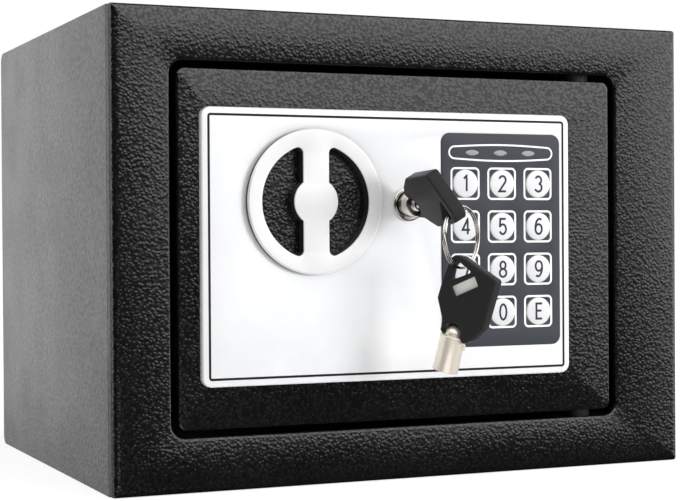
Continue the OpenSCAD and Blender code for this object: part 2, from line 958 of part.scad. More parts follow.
// Plastic head with its notch, ring hole, window and the slot for the metal
module key_head() {
    difference() {
        translate([0, 0, -head_t / 2])
            linear_extrude(head_t)
                difference() {
                    polygon(head_points);
                    polygon(hole_points);
                    circle(head_notch_r);
                }
        translate([0, 0, -head_t / 2 - 1])
            linear_extrude(head_t + 2)
                translate(window_at)
                    rotate(window_turn)
                        square([window_len, window_w], center = true);
        translate([0, 0, -blade_t / 2 - running])
            linear_extrude(blade_t + 2 * running)
                blade_outline(running);
        rotate([90, 0, 0])
            cylinder(r = tube_d / 2 + running, h = tube_len, center = false);
    }
}

// Tube with its hollow tip, the dome in the notch and the flat metal in the head
module key_metal() {
    bore_len = 9;
    bore_r = tube_d / 2 - tube_wall;
    rotate([90, 0, 0])
        difference() {
            translate([0, 0, -shoulder_u])
                cylinder(r = tube_d / 2, h = tube_len + shoulder_u);
            translate([0, 0, tube_len - bore_len])
                cylinder(r = bore_r, h = bore_len + 1);
        }
    intersection() {
        translate([0, shoulder_u + 0.5, 0])
            sphere(dome_r);
        block([-dome_r, shoulder_u - eps, -dome_r], [dome_r, dome_r, dome_r]);
    }
    translate([0, 0, -blade_t / 2])
        linear_extrude(blade_t)
            blade_outline(0);
}

// Puts a key where the lock holds it, leaning over
module at_lock() {
    translate([lock_x, notch_y, lock_z])
        rotate([0, -90 - key_lean, 0])
            rotate([180, 0, 0])
                children();
}

// Puts a key where it hangs from the ring
module at_spare() {
    translate(spare_at)
        rotate([0, 0, -spare_bearing])
            rotate([90, 0, 0])
                rotate([0, 0, -spare_lean])
                    children();
}

module lock_key_metal() {
    color("silver")
        at_lock()
            key_metal();
}

module lock_key_head() {
    color("black")
        at_lock()
            key_head();
}

module spare_key_metal() {
    color("silver")
        at_spare()
            key_metal();
}

module spare_key_head() {
    color("black")
        at_spare()
            key_head();
}

// Split ring of two close turns of wire
module key_ring() {
    wire_r = ring_wire / 2;
    half_gap = wire_r * 0.9;
    color("silver")
        translate(ring_centre)
            rotate([0, 0, ring_bearing])
                rotate([90, 0, 0])
                    rotate_extrude($fn = 96)
                        translate([ring_r, 0])
                            for (side = [-1, 1])
                                translate([0, side * half_gap])
                                    circle(wire_r, $fn = 24);
}

// ---- bolt work ----

module bolt_guides() {
    color("silver")
        for (z = bolt_z)
            difference() {
                block(
                    [guide_x, door_back_y, z - guide_half_h],
                    [guide_x + guide_t, guide_y1, z + guide_half_h]
                );
                bar_x(bolt_y, z, bolt_r + slip, guide_x - 1, guide_x + guide_t + 1);
            }
}

// Studs that the carriage slides on, each with a spacer and a head
module guide_studs() {
    head_y = carriage_y1 + stud_play;
    color("silver")
        for (at = stud_at) {
            bar_y(at[0], at[1], stud_spacer_r, door_back_y, carriage_y0 - stud_play);
            bar_y(at[0], at[1], stud_r, door_back_y, head_y + eps);
            bar_y(at[0], at[1], stud_spacer_r, head_y, head_y + stud_head_t);
        }
}

// Sliding plate that joins the bolts, with the cam slot, two guide slots and the blocking tab
module bolt_carriage() {
    stud_slot_h = 2 * stud_r + 0.4;
    stud_slot_w = bolt_travel + stud_slot_h + 0.4;
    color("silver")
        difference() {
            from_y(carriage_y0, carriage_y1)
                difference() {
                    union() {
                        box2(
                            carriage_x0, carriage_x1,
                            bolt_z[0] - carriage_margin_z, bolt_z[1] + carriage_margin_z
                        );
                        box2(carriage_x1 - 1, tab_x0 + tab_w + 1, arm_z0, arm_z1);
                        box2(tab_x0, tab_x0 + tab_w, tab_z0, arm_z0 + 1);
                    }
                    box2(
                        cam_slot_x - cam_slot_w / 2, cam_slot_x + cam_slot_w / 2,
                        cam_slot_z0, cam_slot_z1
                    );
                    for (at = stud_at)
                        translate([at[0] + bolt_travel / 2, at[1]])
                            slot2(stud_slot_w, stud_slot_h);
                }
            for (z = bolt_z)
                bar_y(rivet_x, z, rivet_r + running, carriage_y0 - 1, carriage_y1 + 1);
        }
}

module locking_bolts() {
    slot_half = carriage_t / 2 + running;
    color("silver")
        for (z = bolt_z)
            difference() {
                bar_x(bolt_y, z, bolt_r, bolt_x0, bolt_x1);
                block(
                    [carriage_x0 - loose, bolt_y - slot_half, z - bolt_r - 1],
                    [bolt_x1 + 1, bolt_y + slot_half, z + bolt_r + 1]
                );
                bar_y(rivet_x, z, rivet_r + running, bolt_y - bolt_r - 1, bolt_y + bolt_r + 1);
            }
}

module bolt_rivets() {
    half_len = bolt_r - 0.4;
    color("gray")
        for (z = bolt_z)
            bar_y(rivet_x, z, rivet_r, bolt_y - half_len, bolt_y + half_len);
}

// ---- knob ----

// One pair of finger windows, on each side of the grip bar and its disc
module finger_windows() {
    difference() {
        circle(window_r);
        square([grip_w, 2 * window_r + 1], center = true);
        circle(grip_disc_d / 2);
    }
}

module knob() {
    color("silver")
        difference() {
            union() {
                bar_y(knob_x, knob_z, knob_d / 2, knob_front_y, face_y - loose);
                bar_y(knob_x, knob_z, knob_boss_r, face_y - loose - eps, boss_back_y);
            }
            from_y(knob_front_y - 1, boss_back_y + 1)
                translate([knob_x, knob_z])
                    finger_windows();
        }
}

module knob_spindle() {
    half = spindle_square / 2;
    end_y = cam_y + cam_t;
    color("gray")
        difference() {
            union() {
                bar_y(knob_x, knob_z, spindle_d / 2, boss_back_y, cam_y);
                block(
                    [knob_x - half, cam_y - eps, knob_z - half],
                    [knob_x + half, end_y, knob_z + half]
                );
            }
            bar_y(knob_x, knob_z, cam_screw_r + running, end_y - cam_screw_len, end_y + 1);
        }
}

// Crank disc on the spindle, with the pin that drives the carriage
module bolt_cam() {
    half = spindle_square / 2 + running;
    end_y = cam_y + cam_t;
    color("silver")
        difference() {
            union() {
                bar_y(knob_x, knob_z, cam_r, cam_y, end_y);
                bar_y(
                    cam_slot_x, knob_z + crank_r * sin(pin_rest_angle), cam_pin_r,
                    end_y - eps, carriage_y1 + 1
                );
            }
            block(
                [knob_x - half, cam_y - 1, knob_z - half],
                [knob_x + half, end_y + 1, knob_z + half]
            );
        }
}

module cam_screw() {
    seat = cam_y + cam_t;
    color("silver") {
        bar_y(knob_x, knob_z, cam_screw_head_r, seat, seat + cam_screw_head_t);
        bar_y(knob_x, knob_z, cam_screw_r, seat - cam_screw_len + slip, seat + eps);
    }
}

// ---- solenoid ----

module solenoid_frame() {
    x0 = sol_x - sol_w / 2;
    x1 = sol_x + sol_w / 2;
    y1 = sol_y + coil_r + 0.3;
    low = sol_top_z - sol_h;
    color("silver")
        difference() {
            union() {
                block([x0, door_back_y, low], [x1, door_back_y + sol_sheet, sol_top_z]);
                block([x0, door_back_y, sol_top_z - sol_sheet], [x1, y1, sol_top_z]);
                block([x0, door_back_y, low], [x1, y1, low + sol_sheet]);
            }
            bar_z(sol_x, sol_y, plunger_r + slip, sol_top_z - sol_sheet - 1, sol_top_z + 1);
        }
}

module solenoid_coil() {
    gap = 0.1;
    low = sol_top_z - sol_h + sol_sheet;
    color("firebrick")
        difference() {
            bar_z(sol_x, sol_y, coil_r, low, sol_top_z - sol_sheet);
            bar_z(sol_x, sol_y, plunger_r + gap, low + 1, sol_top_z);
        }
}

// Spring that lifts the plunger when the lever lets it go
module plunger_spring() {
    spring_r = 4.3;
    color("silver")
        difference() {
            bar_z(sol_x, sol_y, spring_r, sol_top_z, clip_z);
            bar_z(sol_x, sol_y, plunger_r + loose, sol_top_z - 1, clip_z + 1);
        }
}

module solenoid_plunger() {
    color("silver") {
        bar_z(sol_x, sol_y, plunger_r, plunger_top_z - plunger_len, plunger_top_z);
        bar_z(sol_x, sol_y, clip_r, clip_z, clip_z + clip_t);
    }
}

// ---- batteries, wiring and reset ----

// Height of one cell's axis
function cell_z(i) = box_z + (i - (cell_count - 1) / 2) * cell_pitch;

module battery_box() {
    outer_x = box_in_x / 2 + box_wall;
    outer_z = box_in_z / 2 + box_wall;
    shelf = 6;
    color("darkslategray") {
        difference() {
            block(
                [box_x - outer_x, box_front_y, box_z - outer_z],
                [box_x + outer_x, pan_back_y, box_z + outer_z]
            );
            block(
                [box_x - box_in_x / 2, box_front_y + box_wall, box_z - box_in_z / 2],
                [box_x + box_in_x / 2, pan_back_y + 1, box_z + box_in_z / 2]
            );
        }
        block(
            [reset_x - shelf, reset_shelf_y, box_z + outer_z - eps],
            [reset_x + shelf, reset_shelf_y + reset_shelf_t, reset_z + shelf]
        );
    }
}

module battery_cells() {
    color("goldenrod")
        for (i = [0 : cell_count - 1])
            bar_x(cell_y, cell_z(i), cell_r, box_x - cell_len / 2, box_x + cell_len / 2);
}

// A spring and a plate at each end of each cell
module battery_contacts() {
    touch = cell_len / 2 + running;
    wall = box_in_x / 2;
    half = 5;
    color("silver")
        for (i = [0 : cell_count - 1]) {
            z = cell_z(i);
            bar_x(cell_y, z, contact_r, box_x - wall, box_x - touch);
            bar_x(cell_y, z, contact_r, box_x + touch, box_x + wall);
            block(
                [box_x - wall, cell_y - half, z - half],
                [box_x - wall + contact_t, cell_y + half, z + half]
            );
            block(
                [box_x + wall - contact_t, cell_y - half, z - half],
                [box_x + wall, cell_y + half, z + half]
            );
        }
}

// Flat lead from the keypad board to the solenoid, and a round one to the battery box
module wiring() {
    lead_r = 1;
    flat_t = 1.2;
    flat_x = keypad_x - 12;
    flat_z = sol_top_z - 14;
    color("red") {
        block(
            [flat_x - lead_r, board_back_y, flat_z],
            [flat_x + lead_r, sol_y + lead_r, flat_z + flat_t]
        );
        block(
            [sol_x + coil_r, sol_y - lead_r, flat_z],
            [flat_x, sol_y + lead_r, flat_z + flat_t]
        );
        bar_y(keypad_x, keypad_z + cutout_h / 3, lead_r, board_back_y, box_front_y);
    }
}

module reset_switch() {
    half = 3;
    back = reset_shelf_y + reset_shelf_t;
    color("dimgray")
        block(
            [reset_x - half, back, reset_z - half],
            [reset_x + half, back + reset_switch_t, reset_z + half]
        );
}

module reset_button() {
    inner = reset_shelf_y + reset_shelf_t + reset_switch_t + reset_travel + slip;
    color("red") {
        bar_y(reset_x, reset_z, reset_r, inner, cover_back_y + reset_out);
        bar_y(reset_x, reset_z, reset_r + 1, inner, inner + 0.6);
    }
}

// Lid over the battery bay, hinged at its top edge
module battery_lid() {
    w = bay_w / 2 + lid_over;
    h = bay_h / 2 + lid_over;
    half_barrel = lid_barrel_len / 2;
    color("black")
        difference() {
            union() {
                from_y(lid_y, lid_y + lid_t)
                    box2(box_x - w, box_x + w, box_z - h, box_z + h - 1.5);
                block(
                    [box_x - half_barrel, lid_y, box_z + h - 2],
                    [box_x + half_barrel, lid_y + lid_t, lid_pin_z]
                );
                bar_x(
                    lid_pin_y, lid_pin_z, lid_barrel_r,
                    box_x - half_barrel, box_x + half_barrel
                );
            }
            bar_x(
                lid_pin_y, lid_pin_z, lid_pin_r + running,
                box_x - half_barrel - 1, box_x + half_barrel + 1
            );
        }
}

cabinet_wrap();
side_panels();
front_frame();
hinge_brackets();
bolt_keeper();
floor_mat();
door_plate();
door_pan();
inner_cover();
cover_screws();
hinge_pins();
hinge_spacers();
face_plate();
face_plate_screws();
keypad_panel();
indicator_leds();
keypad_board();
key_switches();
lock_barrel();
lock_nut();
solenoid_frame();
solenoid_coil();
plunger_spring();
bolt_guides();
guide_studs();
battery_box();
battery_cells();
battery_contacts();
wiring();
reset_switch();
knob();
knob_spindle();
bolt_cam();
cam_screw();
bolt_carriage();
locking_bolts();
bolt_rivets();
lock_plug();
lock_cam();
lock_cam_screw();
solenoid_plunger();
lock_key_metal();
lock_key_head();
key_ring();
spare_key_metal();
spare_key_head();
key_1();
key_2();
key_3();
key_4();
key_5();
key_6();
key_7();
key_8();
key_9();
key_cancel();
key_0();
key_enter();
battery_lid();
reset_button();
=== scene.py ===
"""Looks of a small electronic safe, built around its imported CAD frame.

Sizes in the classes are millimetres and meshes are metres. X runs to the right,
Y to the back and Z up, from the centre of the base. A flat piece is worked out in
its own plane, with u across, v up and w for its depth.
"""

import sys

import json
import logging
import math
from dataclasses import dataclass
from enum import Enum
from typing import Any, Protocol, Sequence

import bmesh
import bpy
import numpy as np
from mathutils import Matrix, Vector
from mathutils.geometry import delaunay_2d_cdt

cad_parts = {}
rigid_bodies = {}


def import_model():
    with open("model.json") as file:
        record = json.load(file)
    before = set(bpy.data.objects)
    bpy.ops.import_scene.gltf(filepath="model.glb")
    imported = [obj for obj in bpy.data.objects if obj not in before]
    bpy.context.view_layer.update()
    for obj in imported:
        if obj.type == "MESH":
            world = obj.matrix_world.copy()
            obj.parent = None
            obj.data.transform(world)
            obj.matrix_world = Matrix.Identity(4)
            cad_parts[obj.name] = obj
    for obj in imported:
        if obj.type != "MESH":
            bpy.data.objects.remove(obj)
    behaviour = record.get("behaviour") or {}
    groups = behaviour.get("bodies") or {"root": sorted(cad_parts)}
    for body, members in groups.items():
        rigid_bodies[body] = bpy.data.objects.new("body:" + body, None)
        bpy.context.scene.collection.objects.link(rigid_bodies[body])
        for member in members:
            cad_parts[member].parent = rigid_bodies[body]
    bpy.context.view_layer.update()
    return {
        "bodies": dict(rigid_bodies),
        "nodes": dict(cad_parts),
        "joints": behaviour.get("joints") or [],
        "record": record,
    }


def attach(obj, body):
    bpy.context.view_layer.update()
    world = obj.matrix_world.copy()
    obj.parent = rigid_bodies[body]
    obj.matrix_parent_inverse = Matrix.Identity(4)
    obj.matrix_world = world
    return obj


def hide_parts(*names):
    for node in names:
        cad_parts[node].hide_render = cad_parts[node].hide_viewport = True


LOG = logging.getLogger("safe")
Socket = bpy.types.NodeSocket
Colour = tuple[float, float, float]
MM = 0.001
TURN = 2 * math.pi

# Planes of the object, from the front to the back
PANEL_Y = -91.2
FACE_Y = -90.7
FRAME_Y = -88.5
DOOR_Y = -88.2
DOOR_BACK_Y = -85.2
SEAM_Y = -82.5

# Centres (x, z) on the door
KNOB_AT = (-41.3, 101.8)
LOCK_AT = (-4.0, 101.0)
KEYPAD_AT = (34.6, 87.75)

# A print stands this far over its surface, and its sides reach this far under it
PRINT_T = 0.03
PRINT_ROOT = 0.02


# ---- outlines ----


class Outline(Protocol):
    """A closed line in a plane that can be drawn larger or smaller."""

    def points(self, grow: float = 0.0) -> np.ndarray:
        """Points (k, 2) of the line, moved outwards by grow."""


@dataclass(frozen=True)
class RoundRect:
    """Rectangle with round corners, about its centre."""

    u: float
    v: float
    width: float
    height: float
    radius: float
    steps: int = 8

    def points(self, grow: float = 0.0) -> np.ndarray:
        """Corner k is an arc from k to k + 1 quarter turns, about a centre set in from both edges.

        Args:
            grow: how far the line moves outwards.

        Returns:
            Points (4 * (steps + 1), 2), counterclockwise.
        """
        radius = max(self.radius + grow, 0.02)
        count = self.steps + 1
        angle = (np.arange(4)[:, None] + np.linspace(0, 1, count)).ravel() * TURN / 4
        side_u = np.repeat([1, -1, -1, 1], count)
        side_v = np.repeat([1, 1, -1, -1], count)
        u = self.u + side_u * (self.width / 2 + grow - radius) + radius * np.cos(angle)
        v = self.v + side_v * (self.height / 2 + grow - radius) + radius * np.sin(angle)
        return np.stack([u, v], 1)


@dataclass(frozen=True)
class Disc:
    """Circle about a centre."""

    u: float
    v: float
    radius: float
    steps: int = 64

    def points(self, grow: float = 0.0) -> np.ndarray:
        """Centre plus radius times the cosine and sine of one turn, as (steps, 2)."""
        return _around(self.steps) * (self.radius + grow) + [self.u, self.v]


@dataclass(frozen=True)
class Almond:
    """Lens with two pointed ends, about a centre."""

    u: float
    v: float
    half_u: float
    half_v: float
    steps: int = 40

    def points(self, grow: float = 0.0) -> np.ndarray:
        """Cosine across and the sine to the power 1.4 up, keeping its sign, as (steps, 2)."""
        cosine, sine = _around(self.steps).T
        rise = np.sign(sine) * np.abs(sine) ** 1.4
        return np.stack([self.u + (self.half_u + grow) * cosine,
                         self.v + (self.half_v + grow) * rise], 1)


@dataclass(frozen=True)
class Cushion:
    """Long band with round ends whose upper and lower edges bulge at the middle."""

    u: float
    v: float
    half_u: float
    end_v: float
    bulge: float
    steps: int = 16

    def points(self, grow: float = 0.0) -> np.ndarray:
        """The end arcs are half circles of radius end_v; between them each edge rises by
        bulge times the cosine of its place, from -90 to 90 degrees.

        Args:
            grow: how far the line moves outwards.

        Returns:
            Points (4 * steps, 2), counterclockwise.
        """
        radius = self.end_v + grow
        arm = self.half_u - self.end_v
        turn = (np.arange(self.steps) / self.steps - 0.5) * math.pi
        place = np.linspace(-1, 1, self.steps + 1)[:-1]
        right = np.stack([arm + radius * np.cos(turn), radius * np.sin(turn)], 1)
        upper = np.stack([-place * arm, radius + self.bulge * np.cos(place * math.pi / 2)], 1)
        half = np.concatenate([right, upper])
        return np.concatenate([half, -half]) + [self.u, self.v]


@dataclass(frozen=True)
class Cornered:
    """Polygon whose corners are rounded, each by its own radius."""

    corners: tuple[tuple[float, float], ...]
    radii: tuple[float, ...]
    steps: int = 6

    def points(self, grow: float = 0.0) -> np.ndarray:
        """Each corner becomes an arc between its two tangent points, which lie
        radius * tan(half the turn) from it, and the whole line moves along its normals.

        Args:
            grow: how far the line moves outwards.

        Returns:
            Points (k, 2), in the order of the corners; a corner of radius 0 has one.
        """
        at = np.array(self.corners, float)
        radii = np.array(self.radii, float)[:, None]
        back = _unit(np.roll(at, 1, 0) - at)
        ahead = _unit(np.roll(at, -1, 0) - at)
        half_angle = np.arccos(np.clip((back * ahead).sum(1), -1, 1))[:, None] / 2
        middle = _unit(back + ahead)
        centre = at + middle * radii / np.sin(half_angle)
        first = at + back * radii / np.tan(half_angle) - centre
        turn_side = np.sign(back[:, 1] * ahead[:, 0] - back[:, 0] * ahead[:, 1])[:, None]
        sweep = (math.pi - 2 * half_angle) * turn_side * np.linspace(0, 1, self.steps + 1)
        u = centre[:, :1] + first[:, :1] * np.cos(sweep) - first[:, 1:] * np.sin(sweep)
        v = centre[:, 1:] + first[:, :1] * np.sin(sweep) + first[:, 1:] * np.cos(sweep)
        kept = (radii > 0) | (np.arange(self.steps + 1) == 0)
        line = np.stack([u[kept], v[kept]], 1)
        return line if grow == 0 else _moved_out(line, grow)


def _around(steps: int) -> np.ndarray:
    """Cosine and sine of one whole turn, as (steps, 2)."""
    angle = np.arange(steps) * TURN / steps
    return np.stack([np.cos(angle), np.sin(angle)], 1)


def _unit(vectors: np.ndarray) -> np.ndarray:
    """The vectors of an array's last axis, each made one long."""
    return vectors / np.maximum(np.linalg.norm(vectors, axis=-1, keepdims=True), 1e-12)


def _arc(radius: float, start: float, end: float, count: int = 5) -> np.ndarray:
    """Points (count, 2) on a circle about the origin, from one angle to another."""
    angle = np.linspace(start, end, count)
    return radius * np.stack([np.cos(angle), np.sin(angle)], 1)


def _area(line: np.ndarray) -> float:
    """Area of a closed line, positive when it runs counterclockwise."""
    ahead = np.roll(line, -1, 0)
    return float((line[:, 0] * ahead[:, 1] - line[:, 1] * ahead[:, 0]).sum() / 2)


def _moved_out(line: np.ndarray, grow: float) -> np.ndarray:
    """Moves each point along the mean normal of its two edges, by grow over the cosine of half their turn.

    Args:
        line: points (k, 2) of a closed line.
        grow: how far it moves outwards.

    Returns:
        The moved points (k, 2).
    """
    gaps = np.roll(line, -1, 0) - line
    gaps[np.linalg.norm(gaps, axis=1) < 1e-9] = 0
    edge = _unit(gaps)
    flat = np.linalg.norm(edge, axis=1) < 0.5
    edge[flat] = np.roll(edge, 1, 0)[flat]
    side = math.copysign(1.0, _area(line))
    out = np.stack([edge[:, 1], -edge[:, 0]], 1) * side
    mean = _unit(out + np.roll(out, 1, 0))
    lean = np.clip((mean * out).sum(1, keepdims=True), 0.5, 1)
    return line + mean * grow / lean


# ---- surfaces ----


class Lie(Enum):
    """Which of a flat piece's (u, v, w) become X, Y and Z."""

    FRONT = (0, 2, 1)
    SIDE = (2, 0, 1)
    OWN = (0, 1, 2)


def edge_profile(front: float, back: float, front_r: float = 0.0, back_r: float = 0.0) -> np.ndarray:
    """Side of a plate from its front to its back: a quarter circle at each end that has a radius.

    Args:
        front: depth of the front face.
        back: depth of the back face.
        front_r: radius of the front edge.
        back_r: radius of the back edge.

    Returns:
        Rows (how far inside the outline, depth).
    """
    first = _arc(front_r, -TURN / 4, -TURN / 2) + [front_r, front + front_r]
    last = _arc(back_r, TURN / 2, TURN / 4) + [back_r, back - back_r]
    return np.vstack([first if front_r else [(0.0, front)], last if back_r else [(0.0, back)]])


@dataclass(frozen=True)
class Rim:
    """An outline with the profile that is carried along it."""

    outline: Outline
    profile: np.ndarray
    hole: bool = False

    def rings(self) -> np.ndarray:
        """One ring of points for each row of the profile, as (rows, k, 3): the outline moved
        into the material by the row's first number, at the depth of its second."""
        side = 1.0 if self.hole else -1.0
        rings = []
        for inset, depth in self.profile:
            line = self.outline.points(side * inset)
            rings.append(np.column_stack([line, np.full(len(line), depth)]))
        return np.array(rings)


class Shell:
    """Surfaces gathered in one plane before they become one closed mesh."""

    def __init__(self, lie: Lie = Lie.OWN) -> None:
        """Starts an empty shell that will lie as lie says."""
        self.lie = lie
        self.points: list[np.ndarray] = []
        self.faces: list[list[int]] = []
        self.smooth: list[bool] = []
        self.marks: list[int] = []
        self.count = 0

    def _add(self, points: np.ndarray) -> np.ndarray:
        """Adds points (k, 3) and returns their numbers."""
        self.points.append(points)
        self.count += len(points)
        return np.arange(self.count - len(points), self.count)

    def grid(self, points: np.ndarray, around: bool = True, smooth: bool = True, mark: int = 0) -> None:
        """Joins each point of a grid to its neighbours by quads.

        Args:
            points: the grid, as (rows, columns, 3).
            around: whether the last column joins the first.
            smooth: whether the faces are shaded smooth.
            mark: material number of the faces.
        """
        rows, columns = points.shape[:2]
        index = self._add(points.reshape(-1, 3)).reshape(rows, columns)
        if around:
            index = np.concatenate([index, index[:, :1]], 1)
        quads = np.stack([index[:-1, :-1], index[1:, :-1], index[1:, 1:], index[:-1, 1:]], -1)
        self._keep(quads.reshape(-1, 4).tolist(), smooth, mark)

    def flat(self, loops: Sequence[np.ndarray], mark: int = 0) -> None:
        """Fills a closed line and leaves out the lines inside it. Constrained triangles are kept
        where a ray from their middle crosses the lines an odd number of times.

        Args:
            loops: lines (k, 3) at one depth.
            mark: material number of the faces.
        """
        starts = np.concatenate(loops)[:, :2]
        ends = np.concatenate([np.roll(loop, -1, 0) for loop in loops])[:, :2]
        edges, first = [], 0
        for loop in loops:
            number = np.arange(len(loop))
            edges += (np.stack([number, np.roll(number, -1)], 1) + first).tolist()
            first += len(loop)
        found = delaunay_2d_cdt([Vector(spot) for spot in starts], edges, [], 1, 1e-7)
        flat_points = np.array([tuple(spot) for spot in found[0]])
        faces = np.array(found[2])
        across, up = np.split(flat_points[faces].mean(1), 2, 1)
        crossing = (starts[:, 1] > up) != (ends[:, 1] > up)
        rise = np.where(starts[:, 1] == ends[:, 1], 1, ends[:, 1] - starts[:, 1])
        where = starts[:, 0] + (up - starts[:, 1]) / rise * (ends[:, 0] - starts[:, 0])
        inside = (crossing & (across < where)).sum(1) % 2 == 1
        index = self._add(np.column_stack([flat_points, np.full(len(flat_points), loops[0][0, 2])]))
        self._keep(index[faces[inside]].tolist(), False, mark)

    def _keep(self, faces: list[list[int]], smooth: bool, mark: int) -> None:
        """Adds faces with one shading and one material number."""
        self.faces += faces
        self.smooth += [smooth] * len(faces)
        self.marks += [mark] * len(faces)

    def plate(self, rims: Sequence[Rim], mark: int = 0) -> None:
        """A plate with holes: each rim's sides, and the flats between the first and the last rings."""
        rings = [rim.rings() for rim in rims]
        for ring in rings:
            self.grid(ring, mark=mark)
        self.flat([ring[0] for ring in rings], mark)
        self.flat([ring[-1] for ring in rings], mark)

    def turned(self, profile: np.ndarray, u: float = 0.0, v: float = 0.0, steps: int = 64,
               mark: int = 0) -> None:
        """Turns a profile round the depth axis through (u, v): each row becomes a circle.

        Args:
            profile: rows (radius, depth), from one pole to the other or back to its start.
            u: place of the axis across.
            v: place of the axis up.
            steps: points of a full turn.
            mark: material number of the faces.
        """
        circle = np.column_stack([_around(steps), np.zeros(steps)])
        lift = np.stack([np.full(len(profile), u), np.full(len(profile), v), profile[:, 1]], 1)
        self.grid(profile[:, :1, None] * circle + lift[:, None], mark=mark)

    def tube(self, path: np.ndarray, side: np.ndarray, up: np.ndarray, radius: float, steps: int = 16) -> None:
        """Carries a circle along a path and closes both ends with half spheres of shrinking circles.

        Args:
            path: points (n, 3) of the middle line.
            side: one unit vector across the path for each point, (n, 3).
            up: the other one, (n, 3).
            radius: radius of the tube.
            steps: points of the circle.
        """
        ahead = _unit(np.gradient(path, axis=0))
        rows = np.vstack([_arc(radius, -TURN / 4, 0), [(radius, 0.0)] * len(path),
                          _arc(radius, 0, TURN / 4)])
        number = np.clip(np.arange(len(rows)) - 5, 0, len(path) - 1)
        cosine, sine = _around(steps).T[:, :, None]
        circle = side[number][:, None] * cosine + up[number][:, None] * sine
        centre = path[number] + ahead[number] * rows[:, 1:]
        self.grid(centre[:, None] + circle * rows[:, :1, None])

    def mesh(self, name: str, place: Matrix | None = None) -> bpy.types.Object:
        """Merges the points, turns the faces outwards and makes the object.

        Args:
            name: name of the piece.
            place: where the shell goes, in millimetres, if not where it was worked out.

        Returns:
            The object, at the origin, with its place in its mesh.
        """
        points = np.concatenate(self.points)[:, list(self.lie.value)]
        if place is not None:
            turn = np.array(place.to_3x3())
            points = points @ turn.T + np.array(place.translation)
        data = bpy.data.meshes.new(name)
        data.from_pydata((points * MM).tolist(), [], self.faces)
        data.polygons.foreach_set("use_smooth", self.smooth)
        data.polygons.foreach_set("material_index", self.marks)
        work = bmesh.new()
        work.from_mesh(data)
        bmesh.ops.remove_doubles(work, verts=work.verts, dist=1e-6)
        bmesh.ops.dissolve_degenerate(work, edges=work.edges, dist=1e-7)
        bmesh.ops.recalc_face_normals(work, faces=work.faces)
        loose = sum(len(edge.link_faces) != 2 for edge in work.edges)
        work.to_mesh(data)
        work.free()
        data.set_sharp_from_angle(angle=math.radians(38))
        LOG.info("%s: %d faces, %d open edges", name, len(data.polygons), loose)
        piece = bpy.data.objects.new(name, data)
        bpy.context.scene.collection.objects.link(piece)
        return piece


# ---- finishes ----


class Graph:
    """Nodes added to a tree one by one."""

    def __init__(self, tree: bpy.types.NodeTree, place: str = "Object") -> None:
        """Works on a tree, with one of the texture coordinates as its place."""
        self.tree = tree
        self.place = self.add("ShaderNodeTexCoord").outputs[place]

    def add(self, kind: str, sockets: dict[Any, Any] | None = None, **settings: Any) -> bpy.types.Node:
        """Adds a node, links the sockets given as outputs and sets the others.

        Args:
            kind: Blender's name of the node type.
            sockets: input name or number, and an output or a value.
            settings: the node's own properties.

        Returns:
            The node.
        """
        node = self.tree.nodes.new(kind)
        for key, value in settings.items():
            setattr(node, key, value)
        for key, value in (sockets or {}).items():
            if isinstance(value, Socket):
                self.tree.links.new(value, node.inputs[key])
            else:
                node.inputs[key].default_value = value
        return node

    def noise(self, size: float, detail: float = 2.0, roughness: float = 0.5,
              place: Socket | None = None) -> Socket:
        """Soft noise whose features are about size millimetres across."""
        node = self.add("ShaderNodeTexNoise", {
            "Vector": place or self.place, "Scale": 1 / (size * MM), "Detail": detail,
            "Roughness": roughness})
        return node.outputs["Fac"]

    def ramp(self, value: Socket, low: float, high: float, out_low: float = 0.0,
             out_high: float = 1.0) -> Socket:
        """Value from low to high becomes out_low to out_high, with a smooth start and end."""
        sockets = dict(enumerate((value, low, high, out_low, out_high)))
        return self.add("ShaderNodeMapRange", sockets, interpolation_type="SMOOTHSTEP").outputs[0]

    def math(self, kind: str, first: Any, second: Any = 0.0) -> Socket:
        """One arithmetic step on two values."""
        return self.add("ShaderNodeMath", {0: first, 1: second}, operation=kind).outputs[0]

    def blend(self, share: Socket, first: Any, second: Any) -> Socket:
        """The first colour where share is 0 and the second where it is 1."""
        pair = [(*colour[:3], 1) if isinstance(colour, tuple) else colour
                for colour in (first, second)]
        node = self.add("ShaderNodeMix", {0: share, 6: pair[0], 7: pair[1]}, data_type="RGBA")
        return node.outputs[2]

    def bump(self, height: Socket, depth: float) -> Socket:
        """Normal of a height whose full range is depth millimetres deep."""
        sockets = {"Height": height, "Distance": depth * MM, "Strength": 1.0}
        return self.add("ShaderNodeBump", sockets).outputs["Normal"]

    def along(self, axis: str) -> Socket:
        """One of the place's three coordinates."""
        return self.add("ShaderNodeSeparateXYZ", {0: self.place}).outputs[axis]

    def seen_by(self, ray: str) -> Socket:
        """1 for one kind of ray, such as Camera or Glossy, and 0 for the others."""
        return self.add("ShaderNodeLightPath").outputs[f"Is {ray} Ray"]

    def mix(self, share: Socket, first: Any, second: Any) -> Socket:
        """The first value where share is 0 and the second where it is 1."""
        return self.add("ShaderNodeMix", {0: share, 2: first, 3: second}).outputs[0]


class Surface(Graph):
    """A material's tree around its Principled shader."""

    def __init__(self, name: str, **values: Any) -> None:
        """Makes the material and sets the shader's own sockets.

        Args:
            name: name of the material.
            values: socket names, with _ for a space, and their values.
        """
        self.material = bpy.data.materials.new(name)
        self.material.use_nodes = True
        super().__init__(self.material.node_tree)
        self.shader = self.tree.nodes["Principled BSDF"]
        for key, value in values.items():
            self.shader.inputs[key.replace("_", " ")].default_value = value

    def feed(self, socket: str, value: Socket) -> None:
        """Links a value to the shader."""
        self.tree.links.new(value, self.shader.inputs[socket])


